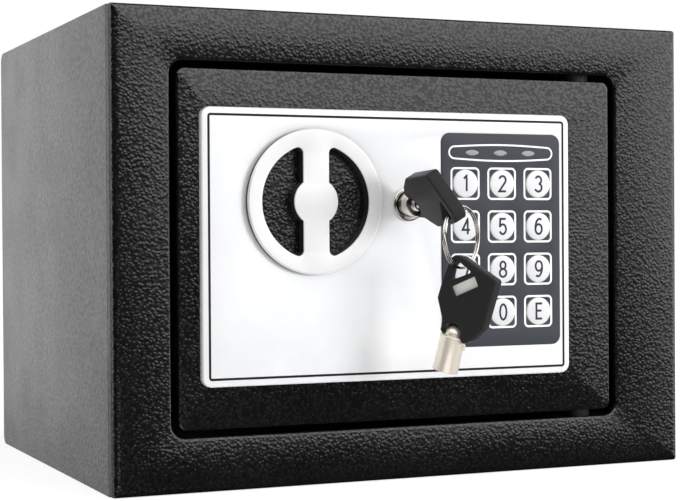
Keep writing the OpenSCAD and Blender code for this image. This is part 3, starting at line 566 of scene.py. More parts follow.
@dataclass(frozen=True)
class PowderCoat:
    """Baked textured paint: small round bumps that meet in narrow valleys."""

    name: str
    paint: Colour
    grain: float = 1.2
    depth: float = 0.062
    rough: float = 0.18
    specular: float = 0.5

    def material(self) -> bpy.types.Material:
        """Each bump is a cell, one high at its point and lower with the distance from it; a fine noise
        bends the cells and roughens them. The valleys get painted shade: their colour is darker and they
        reflect less."""
        graph = Surface(self.name, Base_Color=(*self.paint, 1), Roughness=self.rough,
                        Specular_IOR_Level=self.specular)
        bend = graph.add("ShaderNodeTexNoise",
                         {"Vector": graph.place, "Scale": 900.0 / self.grain, "Detail": 1.0})
        shift = graph.add("ShaderNodeVectorMath",
                          {0: bend.outputs["Color"], 1: (self.grain * 0.6 * MM,) * 3},
                          operation="MULTIPLY")
        bent = graph.add("ShaderNodeVectorMath", {0: graph.place, 1: shift.outputs[0]},
                         operation="ADD")
        cells = graph.add("ShaderNodeTexVoronoi",
                          {"Vector": bent.outputs[0], "Scale": 1000.0 / self.grain,
                           "Smoothness": 0.35}, feature="SMOOTH_F1")
        dome = graph.ramp(cells.outputs["Distance"], 0.05, 0.75, 1.0, 0.0)
        wide = graph.noise(self.grain * 1.6, 1.0)
        skin = graph.math("ADD", graph.math("MULTIPLY", wide, 1.2), dome)
        # Painted shade: the valleys' colour falls to half the paint, and their reflection is lowered too
        low = tuple(c * 0.5 for c in self.paint)
        graph.feed("Base Color", graph.blend(dome, low, self.paint))
        graph.feed("Specular IOR Level",
                   graph.ramp(dome, 0.0, 0.5, self.specular * 0.6, self.specular))
        graph.feed("Roughness", graph.ramp(graph.noise(25.0, 2.0), 0.3, 0.7,
                                           self.rough - 0.02, self.rough + 0.03))
        graph.feed("Normal", graph.bump(skin, self.depth))
        return graph.material


@dataclass(frozen=True)
class Metal:
    """Bare or plated metal with fine scratches and handling marks."""

    name: str
    colour: Colour
    roughness: float = 0.3
    grain: float = 0.05
    depth: float = 0.002

    def material(self) -> bpy.types.Material:
        """A fine noise gives the grain; a wide noise clouds the roughness and the colour."""
        graph = Surface(self.name, Base_Color=(*self.colour, 1), Metallic=1.0, Roughness=self.roughness)
        fine = graph.noise(0.5, 3.0, 0.6)
        cloud = graph.noise(9.0, 3.0, 0.6)
        low, high = self.roughness - self.grain, self.roughness + self.grain
        graph.feed("Roughness", graph.ramp(graph.math("ADD", fine, cloud), 0.7, 1.3, low, high))
        dim = tuple(c * 0.9 for c in self.colour)
        graph.feed("Base Color", graph.blend(graph.ramp(cloud, 0.3, 0.7), dim, self.colour))
        graph.feed("Normal", graph.bump(fine, self.depth))
        return graph.material


@dataclass(frozen=True)
class Plastic:
    """Moulded plastic or print: an even colour with a faint pebble and uneven sheen."""

    name: str
    colour: Colour
    roughness: float = 0.4
    pebble: float = 0.25
    depth: float = 0.004
    metallic: float = 0.0
    specular: float = 0.5
    coat: float = 0.0
    glow: float = 0.0

    def material(self) -> bpy.types.Material:
        """Fine noise gives the pebble, and a wide noise shifts colour and roughness a little."""
        graph = Surface(self.name, Base_Color=(*self.colour, 1), Roughness=self.roughness,
                        Metallic=self.metallic, Specular_IOR_Level=self.specular, Coat_Weight=self.coat,
                        Emission_Color=(*self.colour, 1), Emission_Strength=self.glow)
        fine = graph.noise(self.pebble, 2.0)
        cloud = graph.noise(14.0, 3.0, 0.6)
        low, high = max(self.roughness - 0.04, 0.02), self.roughness + 0.05
        graph.feed("Roughness", graph.ramp(cloud, 0.1, 0.9, low, high))
        dim = tuple(c * 0.95 for c in self.colour)
        graph.feed("Base Color", graph.blend(graph.ramp(cloud, 0.1, 0.9), dim, self.colour))
        graph.feed("Normal", graph.bump(fine, self.depth))
        return graph.material


@dataclass(frozen=True)
class Felt:
    """Short matted fibres."""

    name: str
    colour: Colour

    def material(self) -> bpy.types.Material:
        """Two noises, one drawn out along each way of the floor, stand for the fibres."""
        graph = Surface(self.name, Base_Color=(*self.colour, 1), Roughness=0.95, Sheen_Weight=0.4)
        across, along = (graph.add("ShaderNodeMapping", {"Vector": graph.place, "Scale": scale})
                         for scale in ((0.2, 1, 1), (1, 0.2, 1)))
        fibre = graph.math("MAXIMUM", graph.noise(0.5, 3.0, place=across.outputs[0]),
                           graph.noise(0.5, 3.0, place=along.outputs[0]))
        bright = tuple(min(c * 1.8, 1) for c in self.colour)
        graph.feed("Base Color", graph.blend(graph.ramp(fibre, 0.4, 0.75), self.colour, bright))
        graph.feed("Normal", graph.bump(fibre, 0.25))
        return graph.material


class Paint(Enum):
    """The finishes of the safe."""

    FRONT = PowderCoat("front_coat", (0.006, 0.006, 0.0068), specular=1.0)
    # Smoother, darker and duller copy of the wall coat for the frame's fold: painted shade along the bend
    FOLD = PowderCoat("fold_painted_shade", (0.02, 0.02, 0.021), 1.3, 0.02, 0.4, 0.3)
    WALL = PowderCoat("wall_coat", (0.047, 0.047, 0.048), 1.3, 0.035, 0.3)
    INNER = PowderCoat("inner_coat", (0.012, 0.012, 0.013), 1.3, 0.05, 0.45)
    FELT = Felt("felt_fibre", (0.02, 0.02, 0.022))
    STEEL = Metal("zinc_steel", (0.62, 0.63, 0.64), 0.32)
    NYLON = Plastic("nylon_moulded", (0.02, 0.02, 0.02), 0.5)
    FACE = Plastic("silver_face", (0.865, 0.87, 0.883), 0.34, 0.12, 0.001, 0.2)
    LINE = Plastic("line_print", (0.012, 0.012, 0.013), 0.5, specular=0.2)
    KEYPAD = Plastic("keypad_slate", (0.039, 0.042, 0.053), 0.42, 0.3, 0.004)
    WHITE = Plastic("white_print", (0.92, 0.92, 0.92), 0.5)
    DIGIT = Plastic("digit_print", (0.025, 0.025, 0.03), 0.5)
    CAP = Plastic("key_cap_silver", (0.8, 0.805, 0.82), 0.34, 0.1, 0.002, 0.3)
    LAMP = Plastic("lamp_glass", (0.30, 0.31, 0.33), 0.25, 0.4, 0.003, 0.0, 0.5, 0.3)
    KNOB = Plastic("knob_silver", (0.88, 0.88, 0.885), 0.36, 0.15, 0.002, 0.35)
    KNOB_BODY = Plastic("knob_black", (0.018, 0.018, 0.018), 0.35)
    BLACK = Plastic("black_grip", (0.023, 0.023, 0.024), 0.42, 0.5, 0.006, specular=0.15)
    PAD = Plastic("key_pad_metal", (0.98, 0.96, 0.9), 0.4, 0.6, 0.012, 0.0)
    # Warm, bright copy of the nickel for the spare key's tube: painted reflection, as both keys are of one
    # metal
    SATIN = Plastic("nickel_painted_sheen", (0.99, 0.91, 0.79), 0.24, 0.4, 0.001, 0.5)
    NICKEL = Metal("nickel_plate", (0.8, 0.77, 0.73), 0.16, 0.04, 0.0015)
    BOARD = Plastic("circuit_green", (0.02, 0.12, 0.05), 0.4)
    TAPE = Plastic("coil_wrap", (0.42, 0.30, 0.06), 0.45)
    SLEEVE = Plastic("cell_wrap", (0.05, 0.12, 0.30), 0.3, 0.4, 0.002, 0.0, 0.5, 0.5)
    LEAD = Plastic("lead_jacket", (0.45, 0.03, 0.02), 0.4)
    BUTTON = Plastic("button_cap", (0.5, 0.03, 0.02), 0.35)

    def material(self) -> bpy.types.Material:
        """The material, made once."""
        return bpy.data.materials.get(self.value.name) or self.value.material()


def settle(piece: bpy.types.Object, paints: Sequence[Paint], body: str, slot: str, *nodes: str) -> None:
    """Gives a piece its finishes, its body and the CAD nodes it stands for.

    Args:
        piece: the object.
        paints: one finish for each material number of its faces.
        body: CAD body that carries it.
        slot: the record's material slot; not used.
        nodes: CAD nodes it replaces.
    """
    for paint in paints:
        piece.data.materials.append(paint.material())
    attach(piece, body)
    if nodes:
        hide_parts(*nodes)
    LOG.info("%s rides on %s", piece.name, body)


# ---- cabinet ----


@dataclass
class Cabinet:
    """Front frame and side walls."""

    width: float = 230.0
    height: float = 170.0
    wall: float = 1.5
    frame_t: float = 2.0
    opening: RoundRect = RoundRect(-4.0, 85.25, 180.0, 131.5, 5.0, 12)
    back_y: float = 88.5
    bend_r: float = 4.0

    def build(self) -> None:
        """Makes the frame and both walls."""
        self.frame()
        self.walls()

    def frame(self) -> None:
        """Front plate whose outer edge bends back to the walls, with the door's opening. The
        fold's side has a smoother, darker and duller copy of the walls' coat: painted shade along the bend."""
        outline = RoundRect(0, self.height / 2, self.width, self.height, 1.2)
        bend = edge_profile(FRAME_Y, SEAM_Y, 3.0, 0.35)
        inner = [(self.wall, SEAM_Y), (self.wall, FRAME_Y + self.frame_t)]
        front = Rim(outline, bend[:4]).rings()
        fold = Rim(outline, np.vstack([bend[3:], inner])).rings()
        hole = Rim(self.opening, edge_profile(FRAME_Y, FRAME_Y + self.frame_t, 1.1, 0.2), True).rings()
        shell = Shell(Lie.FRONT)
        shell.grid(front)
        shell.grid(hole)
        # The fold's side takes the darker copy of the coat, as painted shade on the bend
        shell.grid(fold, mark=1)
        shell.flat([front[0], hole[0]])
        shell.flat([fold[-1], hole[-1]])
        settle(shell.mesh("front_frame_folded"), [Paint.FRONT, Paint.FOLD], "cabinet", "front_paint",
               "front_frame")

    def walls(self) -> None:
        """Two flat walls, round at their back corners and eased along every edge."""
        low, high = SEAM_Y, self.back_y
        corners = ((low, 0.0), (high, 0.0), (high, self.height), (low, self.height))
        outline = Cornered(corners, (0.4, self.bend_r, self.bend_r, 0.4))
        shell = Shell(Lie.SIDE)
        for x in (-self.width / 2, self.width / 2 - self.wall):
            shell.plate([Rim(outline, edge_profile(x, x + self.wall, 0.35, 0.35))])
        settle(shell.mesh("side_walls"), [Paint.WALL], "cabinet", "wall_paint", "side_panels")


# ---- door ----


@dataclass
class Door:
    """Door plate with its holes, and the face plate with its printed line."""

    plate: RoundRect = RoundRect(-4.0, 85.25, 175.0, 126.5, 3.0, 12)
    face: RoundRect = RoundRect(-9.75, 86.0, 147.5, 98.0, 3.5, 12)
    barrel_r: float = 5.55
    spindle_r: float = 5.2
    boss_r: float = 23.0
    board_hole: tuple[float, float] = (45.2, 75.5)
    panel_hole: tuple[float, float] = (47.2, 76.5)
    hole_corner: float = 0.3
    screw_r: float = 1.55
    screw_x: tuple[float, float] = (-77.0, 60.8)
    screw_z: tuple[float, float] = (42.0, 130.0)
    line_inset: float = 2.3
    line_w: float = 0.85

    def build(self) -> None:
        """Makes the door plate, the face plate and the line."""
        self.door_plate()
        self.face_plate()
        self.face_line()

    def door_plate(self) -> None:
        """Steel plate with the spindle's, the lock's, the keypad's and the screws' holes."""
        sides = edge_profile(DOOR_Y, DOOR_BACK_Y)
        holes = [Disc(*KNOB_AT, self.spindle_r, 40), Disc(*LOCK_AT, self.barrel_r, 40),
                 RoundRect(*KEYPAD_AT, *self.board_hole, self.hole_corner)]
        holes += [Disc(x, z, self.screw_r, 20) for x in self.screw_x for z in self.screw_z]
        rims = [Rim(self.plate, edge_profile(DOOR_Y, DOOR_BACK_Y, 0.9, 0.3))]
        shell = Shell(Lie.FRONT)
        shell.plate(rims + [Rim(hole, sides, True) for hole in holes])
        settle(shell.mesh("door_plate_coated"), [Paint.FRONT], "door", "front_paint", "door_plate")

    def face_plate(self) -> None:
        """Silver plate with the knob's, the lock's and the keypad's holes."""
        sides = edge_profile(FACE_Y, DOOR_Y, 0.25)
        holes = [Disc(*KNOB_AT, self.boss_r), Disc(*LOCK_AT, self.barrel_r, 40),
                 RoundRect(*KEYPAD_AT, *self.panel_hole, self.hole_corner)]
        rims = [Rim(self.face, edge_profile(FACE_Y, DOOR_Y, 0.8, 0.1))]
        shell = Shell(Lie.FRONT)
        shell.plate(rims + [Rim(hole, sides, True) for hole in holes])
        settle(shell.mesh("face_plate_silver"), [Paint.FACE], "door", "silver_plastic", "face_plate")

    def face_line(self) -> None:
        """Thin printed line that follows the edge of the face plate."""
        shell = Shell(Lie.FRONT)
        band(shell, self.face, -self.line_inset, self.line_w, FACE_Y)
        settle(shell.mesh("face_line"), [Paint.LINE], "door", "black_plastic")


def band(shell: Shell, outline: Outline, grow: float, width: float, depth: float) -> None:
    """A printed line: the band between an outline moved by grow and the same moved by grow - width.

    Args:
        shell: where the band goes.
        outline: the line's outline.
        grow: how far the band's outer edge is moved outwards.
        width: width of the band.
        depth: depth of the surface it is printed on.
    """
    profile = [(-grow, depth + PRINT_ROOT), (-grow, depth - PRINT_T), (width - grow, depth - PRINT_T),
               (width - grow, depth + PRINT_ROOT), (-grow, depth + PRINT_ROOT)]
    shell.grid(Rim(outline, np.array(profile)).rings(), smooth=False)


# ---- knob ----


@dataclass(frozen=True)
class FingerWindow:
    """Window between the knob's rim, its grip bar and its middle disc."""

    u: float
    v: float
    side: int
    rim_r: float = 20.6
    bar: float = 4.9
    disc_r: float = 8.4
    corner_r: float = 2.0

    def points(self, grow: float = 0.0) -> np.ndarray:
        """Rim arc, corner arc, bar, disc arc, bar, corner arc. A corner's circle touches the
        bar and, from inside, the rim, so its centre lies rim - corner from the middle.

        Args:
            grow: how far the line moves outwards.

        Returns:
            Points (k, 2).
        """
        rim, bar, disc = self.rim_r + grow, self.bar - grow, self.disc_r - grow
        corner = self.corner_r + grow
        centre = np.array([bar + corner, math.sqrt((rim - corner) ** 2 - (bar + corner) ** 2)])
        lean = math.atan2(centre[1], centre[0])
        meet = math.acos(bar / disc)
        outer = _arc(rim, -lean, lean, 40)
        upper = _arc(corner, lean, math.pi, 9) + centre
        middle = _arc(disc, meet, -meet, 24)
        lower = _arc(corner, math.pi, TURN - lean, 9) + centre * [1, -1]
        line = np.concatenate([outer, upper[1:], middle, lower[:-1]])
        return line * [self.side, 1] + [self.u, self.v]


@dataclass
class Knob:
    """Turning knob: silver face over a black body, with two finger windows."""

    radius: float = 26.0
    boss_r: float = 22.5
    front_y: float = -93.2
    skin_y: float = -92.5
    rim_y: float = -90.9
    boss_y: float = -88.4
    bevel: float = 0.6
    lip: float = 0.5

    def build(self) -> None:
        """Makes the silver face and the black body."""
        windows = [FingerWindow(*KNOB_AT, side) for side in (1, -1)]
        disc = Disc(*KNOB_AT, self.radius, 128)
        side = np.array([(self.bevel, self.front_y), (0, self.front_y + self.bevel), (0, self.rim_y),
                         (self.lip, self.rim_y), (self.lip, self.skin_y)])
        chamfer, wall = Rim(disc, side[:2]).rings(), Rim(disc, side[1:]).rings()
        holes = [Rim(w, edge_profile(self.front_y, self.skin_y, 0.2), True).rings() for w in windows]
        face = Shell(Lie.FRONT)
        face.grid(wall, mark=1)
        for rings in (chamfer, *holes):
            face.grid(rings)
        face.flat([chamfer[0], *(hole[0] for hole in holes)])
        face.flat([wall[-1], *(hole[-1] for hole in holes)])
        settle(face.mesh("knob_face"), [Paint.KNOB, Paint.KNOB_BODY], "knob_set", "knob_metal", "knob")
        inset = self.radius - self.boss_r
        steps = np.array([(self.lip, self.skin_y), (self.lip, self.rim_y),
                          (inset, self.rim_y), (inset, self.boss_y)])
        sides = edge_profile(self.skin_y, self.boss_y)
        body = Shell(Lie.FRONT)
        body.plate([Rim(disc, steps)] + [Rim(w, sides, True) for w in windows])
        settle(body.mesh("knob_body"), [Paint.KNOB_BODY], "knob_set", "black_plastic")


# ---- keypad ----


class Label(Enum):
    """Strokes of each key's label in a box from -1 to 1. A stroke is (centre u, centre v,
    half u, half v, first angle, last angle) of an ellipse in degrees, or a run of points."""

    ZERO = ((("arc", 0, 0, 0.82, 1, 0, 360),),)
    ONE = ((("line", -0.55, 0.62, 0.18, 1.0, 0.18, -1.0),),)
    TWO = ((("arc", 0, 0.48, 0.82, 0.52, 165, -25), ("line", -0.86, -1.0, 0.9, -1.0)),)
    THREE = ((("arc", -0.02, 0.5, 0.76, 0.5, 155, -80),), (("arc", -0.02, -0.48, 0.86, 0.52, 85, -160),))
    FOUR = ((("line", 0.95, -0.42, -0.92, -0.42, 0.38, 1.0, 0.38, -1.0),),)
    FIVE = ((("line", 0.78, 1.0, -0.62, 1.0, -0.74, 0.05), ("arc", 0.0, -0.36, 0.82, 0.64, 138, -155)),)
    SIX = ((("arc", 0, -0.36, 0.84, 0.64, 180, -180),), (("arc", 0.22, -0.25, 1.06, 1.25, 62, 180),))
    SEVEN = ((("line", -0.86, 1.0, 0.86, 1.0, -0.2, -1.0),),)
    EIGHT = ((("arc", 0, 0.52, 0.68, 0.48, 0, 360),), (("arc", 0, -0.48, 0.84, 0.52, 0, 360),))
    NINE = ((("arc", 0, 0.36, 0.84, 0.64, 0, 360),), (("arc", -0.22, 0.25, 1.06, 1.25, 0, -118),))
    CLEAR = ((("arc", 0.05, 0, 0.88, 1, 48, 312),),)
    ENTER = ((("line", 0.8, 1.0, -0.7, 1.0, -0.7, -1.0, 0.8, -1.0),), (("line", -0.7, 0.05, 0.62, 0.05),))


@dataclass
class Key:
    """One push key with its printed label."""

    node: str
    label: Label
    x: float
    z: float
    crown_r: float = 4.75
    edge_r: float = 0.45
    radius: float = 5.2
    flange_r: float = 6.3
    stem_r: float = 2.0
    top_y: float = -91.9
    flange_y: float = -89.9
    flange_back_y: float = -89.3
    stem_y: float = -87.8
    dome: float = 0.1
    glyph_u: float = 1.65
    glyph_v: float = 2.85
    stroke: float = 0.8

    def build(self) -> None:
        """Makes the cap and its label."""
        reach = np.linspace(0, self.crown_r, 9)
        crown = np.column_stack([reach, self.crown_y(reach)])
        edge = _arc(self.edge_r, -TURN / 4, 0)[1:] + [self.crown_r, self.top_y + self.dome + self.edge_r]
        rest = [(self.radius, self.flange_y), (self.flange_r, self.flange_y),
                (self.flange_r, self.flange_back_y), (self.stem_r, self.flange_back_y),
                (self.stem_r, self.stem_y), (0, self.stem_y)]
        cap = Shell(Lie.FRONT)
        cap.turned(np.vstack([crown, edge, rest]), self.x, self.z, 48)
        body = f"{self.node}_button"
        settle(cap.mesh(f"{self.node}_cap"), [Paint.CAP], body, "cap_silver", self.node)
        glyph = Shell(Lie.FRONT)
        for number, stroke in enumerate(self.label.value):
            self.ink(glyph, self.line(stroke), PRINT_T + 0.002 * number)
        settle(glyph.mesh(f"{self.node}_label"), [Paint.DIGIT], body, "black_plastic")

    def crown_y(self, reach: np.ndarray) -> np.ndarray:
        """Depth of the cap's face, which falls back with the square of the reach from its centre."""
        return self.top_y + self.dome * (reach / self.crown_r) ** 2

    def line(self, stroke: Sequence[tuple[Any, ...]]) -> np.ndarray:
        """Joins a stroke's arcs and straight runs, cut short to follow the crown, into points (n, 2)."""
        runs = []
        for kind, *n in stroke:
            if kind == "arc":
                angle = np.radians(np.linspace(n[4], n[5], 32))
                runs.append(np.stack([n[0] + n[2] * np.cos(angle), n[1] + n[3] * np.sin(angle)], 1))
            else:
                ends = np.array(n, float).reshape(-1, 2)
                steps = np.linspace(0, len(ends) - 1, 8 * (len(ends) - 1) + 1)
                runs.append(np.column_stack([np.interp(steps, range(len(ends)), axis) for axis in ends.T]))
        return np.concatenate(runs) * [self.glyph_u, self.glyph_v]

    def ink(self, shell: Shell, line: np.ndarray, lift: float) -> None:
        """A flat ribbon along the line: at each point the mean normal of its two edges, scaled so
        that the ribbon keeps its width round corners. It lies on the cap's crown.

        Args:
            shell: where the ribbon goes.
            line: points (n, 2) about the key's centre.
            lift: how far its top stands over the cap.
        """
        closed = bool(np.allclose(line[0], line[-1], atol=1e-6))
        edge = _unit(np.diff(line, axis=0))
        before = np.vstack([edge[-1:] if closed else edge[:1], edge])
        after = np.vstack([edge, edge[:1] if closed else edge[-1:]])
        mean = _unit(before + after)
        spread = self.stroke / 2 / np.clip((mean * after).sum(1, keepdims=True), 0.45, 1)
        out = np.stack([mean[:, 1], -mean[:, 0]], 1) * spread
        corners = []
        for side, height in ((1, -PRINT_ROOT), (1, lift), (-1, lift), (-1, -PRINT_ROOT),
                             (1, -PRINT_ROOT)):
            flat = line + side * out
            crown = self.crown_y(np.linalg.norm(flat, axis=1))
            corners.append(np.column_stack([flat + [self.x, self.z], crown - height]))
        points = np.array(corners)
        shell.grid(points, around=False, smooth=False)
        for end in () if closed else (0, -1):
            shell.grid(points[[0, 3, 1, 2], end].reshape(2, 2, 3), around=False, smooth=False)


@dataclass
class Keypad:
    """Panel with its printed outlines, lamps and twelve keys."""

    width: float = 50.2
    height: float = 79.5
    radius: float = 3.5
    back_y: float = -90.0
    lip: float = 1.7
    hole_r: float = 5.4
    square: float = 12.1
    square_r: float = 1.9
    square_w: float = 0.75
    lamp_line: Cushion = Cushion(34.4, 120.25, 22.1, 2.55, 0.75)
    lamp_line_w: float = 0.65
    lamp_y: float = -91.35
    pitch_x: float = 15.4
    pitch_z: float = 16.0
    top_row_z: float = 108.75
    lamp_z: float = 120.25
    lamp_x: tuple[float, ...] = (22.2, 34.1, 46.0)
    labels: tuple[tuple[str, Label], ...] = (
        ("key_1", Label.ONE), ("key_2", Label.TWO), ("key_3", Label.THREE),
        ("key_4", Label.FOUR), ("key_5", Label.FIVE), ("key_6", Label.SIX),
        ("key_7", Label.SEVEN), ("key_8", Label.EIGHT), ("key_9", Label.NINE),
        ("key_cancel", Label.CLEAR), ("key_0", Label.ZERO), ("key_enter", Label.ENTER))

    def places(self) -> list[tuple[float, float]]:
        """Centres of the keys, row by row from the upper left."""
        return [(KEYPAD_AT[0] + (i % 3 - 1) * self.pitch_x, self.top_row_z - i // 3 * self.pitch_z)
                for i in range(len(self.labels))]

    def lamps(self, gap: float = 0.0) -> list[Almond]:
        """Outlines of the three lamps, each longer and wider by the gap all round."""
        return [Almond(x, self.lamp_z, 2.9 + gap, 1.1 + gap) for x in self.lamp_x]

    def build(self) -> None:
        """Makes the panel, its prints, the lamps and the keys."""
        outer = np.vstack([edge_profile(PANEL_Y, FACE_Y, 0.35),
                           (self.lip, FACE_Y), (self.lip, self.back_y)])
        sides = edge_profile(PANEL_Y, self.back_y, 0.08)
        rims = [Rim(RoundRect(*KEYPAD_AT, self.width, self.height, self.radius), outer)]
        rims += [Rim(Disc(x, z, self.hole_r, 48), sides, True) for x, z in self.places()]
        rims += [Rim(lamp, edge_profile(PANEL_Y, self.back_y), True) for lamp in self.lamps(0.08)]
        panel = Shell(Lie.FRONT)
        panel.plate(rims)
        settle(panel.mesh("keypad_slate"), [Paint.KEYPAD], "door", "keypad_plastic", "keypad_panel")
        prints = Shell(Lie.FRONT)
        for x, z in self.places():
            square = RoundRect(x, z, self.square, self.square, self.square_r)
            band(prints, square, 0, self.square_w, PANEL_Y)
        band(prints, self.lamp_line, 0, self.lamp_line_w, PANEL_Y)
        settle(prints.mesh("keypad_print"), [Paint.WHITE], "door", "cap_silver")
        lamps = Shell(Lie.FRONT)
        for lamp in self.lamps():
            lamps.plate([Rim(lamp, edge_profile(self.lamp_y, DOOR_BACK_Y, 0.3))])
        settle(lamps.mesh("lamp_lenses"), [Paint.LAMP], "door", "lamp_lens", "indicator_leds")
        for (node, label), (x, z) in zip(self.labels, self.places()):
            Key(node, label, x, z).build()


# ---- lock, keys and ring ----


@dataclass
class Lock:
    """Emergency lock's barrel with its bezel."""

    front_y: float = -91.9
    recess_y: float = -91.0
    plug_y: float = -84.6
    back_y: float = -76.2
    bezel_r: float = 6.2
    recess_r: float = 5.2
    plug_r: float = 5.0
    barrel_r: float = 5.5
    bore_r: float = 4.05
    outer_edge: float = 0.45
    inner_edge: float = 0.2

    def build(self) -> None:
        """Turns the barrel's section round its axis: the bezel's outer edge, the barrel's outside,
        its bore and recess, and the bezel's inner edge."""
        outer = _arc(self.outer_edge, -TURN / 4, 0)
        outer += [self.bezel_r - self.outer_edge, self.front_y + self.outer_edge]
        inner = _arc(self.inner_edge, TURN / 2, TURN * 3 / 4)
        inner += [self.recess_r + self.inner_edge, self.front_y + self.inner_edge]
        back = [(self.bezel_r, FACE_Y), (self.barrel_r, FACE_Y), (self.barrel_r, self.back_y),
                (self.bore_r, self.back_y), (self.bore_r, self.plug_y), (self.plug_r, self.plug_y),
                (self.plug_r, self.recess_y), (self.recess_r, self.recess_y)]
        shell = Shell(Lie.FRONT)
        shell.turned(np.vstack([outer, back, inner, outer[:1]]), *LOCK_AT, 64)
        settle(shell.mesh("lock_barrel_plated"), [Paint.NICKEL], "door", "nickel", "lock_barrel")


@dataclass
class TubularKey:
    """Tubular key: hollow tube, dome in the head's notch, flat metal and plastic head.

    In the key's own plane s runs across, u out of the notch and n through the head.
    """

    prefix: str
    place: Matrix
    finish: Paint
    tube_r: float = 4.6
    bore_r: float = 3.2
    bore_depth: float = 9.0
    start: float = 1.2
    start_edge: float = 0.35
    tip: float = 14.2
    tip_edge: float = 0.2
    dome_r: float = 3.0
    dome_u: float = 0.7
    head_t: float = 5.2
    head_edge: float = 0.7
    notch_r: float = 3.4
    window_at: tuple[float, float] = (0.8, 17.1)
    window_turn: float = math.radians(37.5)
    window_half: tuple[float, float] = (4.9, 1.95)
    window_floor: float = 0.9

    def build(self) -> None:
        """Makes the metal and the head."""
        self.metal()
        self.head()

    def metal(self) -> None:
        """Tube and dome turned round the u axis, and the flat metal inside the head."""
        top = _arc(self.start_edge, -TURN / 4, 0)
        top += [self.tube_r - self.start_edge, self.start + self.start_edge]
        tip = _arc(self.tip_edge, 0, TURN / 4) + [self.tube_r - self.tip_edge, self.tip - self.tip_edge]
        bore_u = self.tip - self.bore_depth
        bore = [(self.bore_r, self.tip), (self.bore_r, bore_u), (0, bore_u)]
        along = Matrix(((1, 0, 0, 0), (0, 0, -1, 0), (0, 1, 0, 0), (0, 0, 0, 1)))
        tube = Shell()
        tube.turned(np.vstack([(0, self.start), top, tip, bore]), steps=64)
        bend = np.linspace(0, math.acos((self.dome_u - self.start) / self.dome_r), 12)
        dome = np.column_stack([self.dome_r * np.sin(bend), self.dome_u - self.dome_r * np.cos(bend)])
        tube.turned(np.vstack([dome, (0, self.start)]))
        lug = RoundRect(self.tube_r, 0, 1.2, 2.0, 0.4, 4)
        tube.plate([Rim(lug, edge_profile(3.2, 5.4, 0.3, 0.3))])
        settle(tube.mesh(f"{self.prefix}_tube", self.place @ along), [self.finish], self.prefix, "nickel",
               f"{self.prefix}_metal")
        blade = Shell()
        blade.plate([Rim(RoundRect(0, 7.15, 4.8, 16.7, 0.4, 4), edge_profile(-0.8, 0.8))])
        settle(blade.mesh(f"{self.prefix}_blade", self.place), [Paint.NICKEL], self.prefix, "nickel")
        pad = Shell()
        pad.plate([Rim(RoundRect(0, 0, 11.2, 5.2, 0.5, 4), edge_profile(-0.82, 0.82))])
        turn = Matrix.Translation((*self.window_at, 0)) @ Matrix.Rotation(self.window_turn, 4, "Z")
        settle(pad.mesh(f"{self.prefix}_pad", self.place @ turn), [Paint.PAD], self.prefix, "nickel")

    def head(self) -> None:
        """Plastic head with soft edges, the notch, the ring's hole and the window, which is
        open on one side only."""
        reach = math.sqrt(self.notch_r**2 - 1)
        lean = math.atan2(-1, reach)
        notch = [tuple(p) for p in _arc(self.notch_r, lean, math.pi - lean, 17)]
        corners = [(-8.4, 10.5), (-7.9, 19.5), (-7, 25.4), (-5.4, 26.9), (-2.6, 27), (12.3, 22.2),
                   (11.6, 4.4), (8.4, -0.4), (5.1, -2.8), *notch, (-4.5, -0.2), (-4.7, 3.6)]
        radii = [2.0, 2.0, 0.9, 0.8, 1.2, 1.4, 2.0, 1.6, 1.0, *([0.0] * len(notch)), 0.5, 1.5]
        outline = Cornered(tuple(corners), tuple(radii))
        hole = Cornered(((-5.6, 17.2), (2.2, 22.6), (-3, 24.8), (-4.6, 24.6), (-5.6, 22.8)),
                        (0.5, 0.5, 0.6, 0.5, 0.6))
        half = np.array([(1, 1), (-1, 1), (-1, -1), (1, -1)]) * self.window_half
        cosine, sine = math.cos(self.window_turn), math.sin(self.window_turn)
        turned = half @ np.array([(cosine, sine), (-sine, cosine)]) + self.window_at
        frame = Cornered(tuple(map(tuple, turned)), (0.3,) * 4, 3)
        front, back = -self.head_t / 2, self.head_t / 2
        sides = Rim(outline, edge_profile(front, back, self.head_edge, self.head_edge)).rings()
        eye = Rim(hole, edge_profile(front, back, 0.35, 0.35), True).rings()
        window = Rim(frame, edge_profile(front + self.window_floor, back, 0.0, 0.2), True).rings()
        shell = Shell()
        for rings in (sides, eye, window):
            shell.grid(rings)
        shell.flat([sides[0], eye[0]])
        shell.flat([window[0]])
        shell.flat([sides[-1], eye[-1], window[-1]])
        settle(shell.mesh(f"{self.prefix}_grip", self.place), [Paint.BLACK], self.prefix, "black_plastic",
               f"{self.prefix}_head")


@dataclass
class KeyRing:
    """Split ring of two turns of wire."""

    centre: tuple[float, float, float] = (3.2644, -118.474, 88.867)
    bearing: float = 30.0
    radius: float = 10.9
    wire_r: float = 0.42
    half_gap: float = 0.43
    split: float = 180.0

    def build(self) -> None:
        """The wire goes twice round, and steps from one side of the ring to the other at the
        split."""
        turn = math.radians(self.bearing)
        across = np.array([math.cos(turn), math.sin(turn), 0.0])
        axis = np.array([math.sin(turn), -math.cos(turn), 0.0])
        degrees = np.linspace(8, 712, 260)
        angle = np.radians(degrees + self.split)
        share = np.clip((degrees - 342) / 36, 0, 1)
        step = (share * share * (3 - 2 * share) * 2 - 1) * self.half_gap
        radial = np.cos(angle)[:, None] * across + np.sin(angle)[:, None] * np.array([0, 0, 1.0])
        path = np.array(self.centre) + radial * self.radius + step[:, None] * axis
        shell = Shell()
        shell.tube(path, radial, np.tile(axis, (len(path), 1)), self.wire_r)
        settle(shell.mesh("split_ring"), [Paint.NICKEL], "ring", "nickel", "key_ring")


# ---- the CAD pieces that stay ----


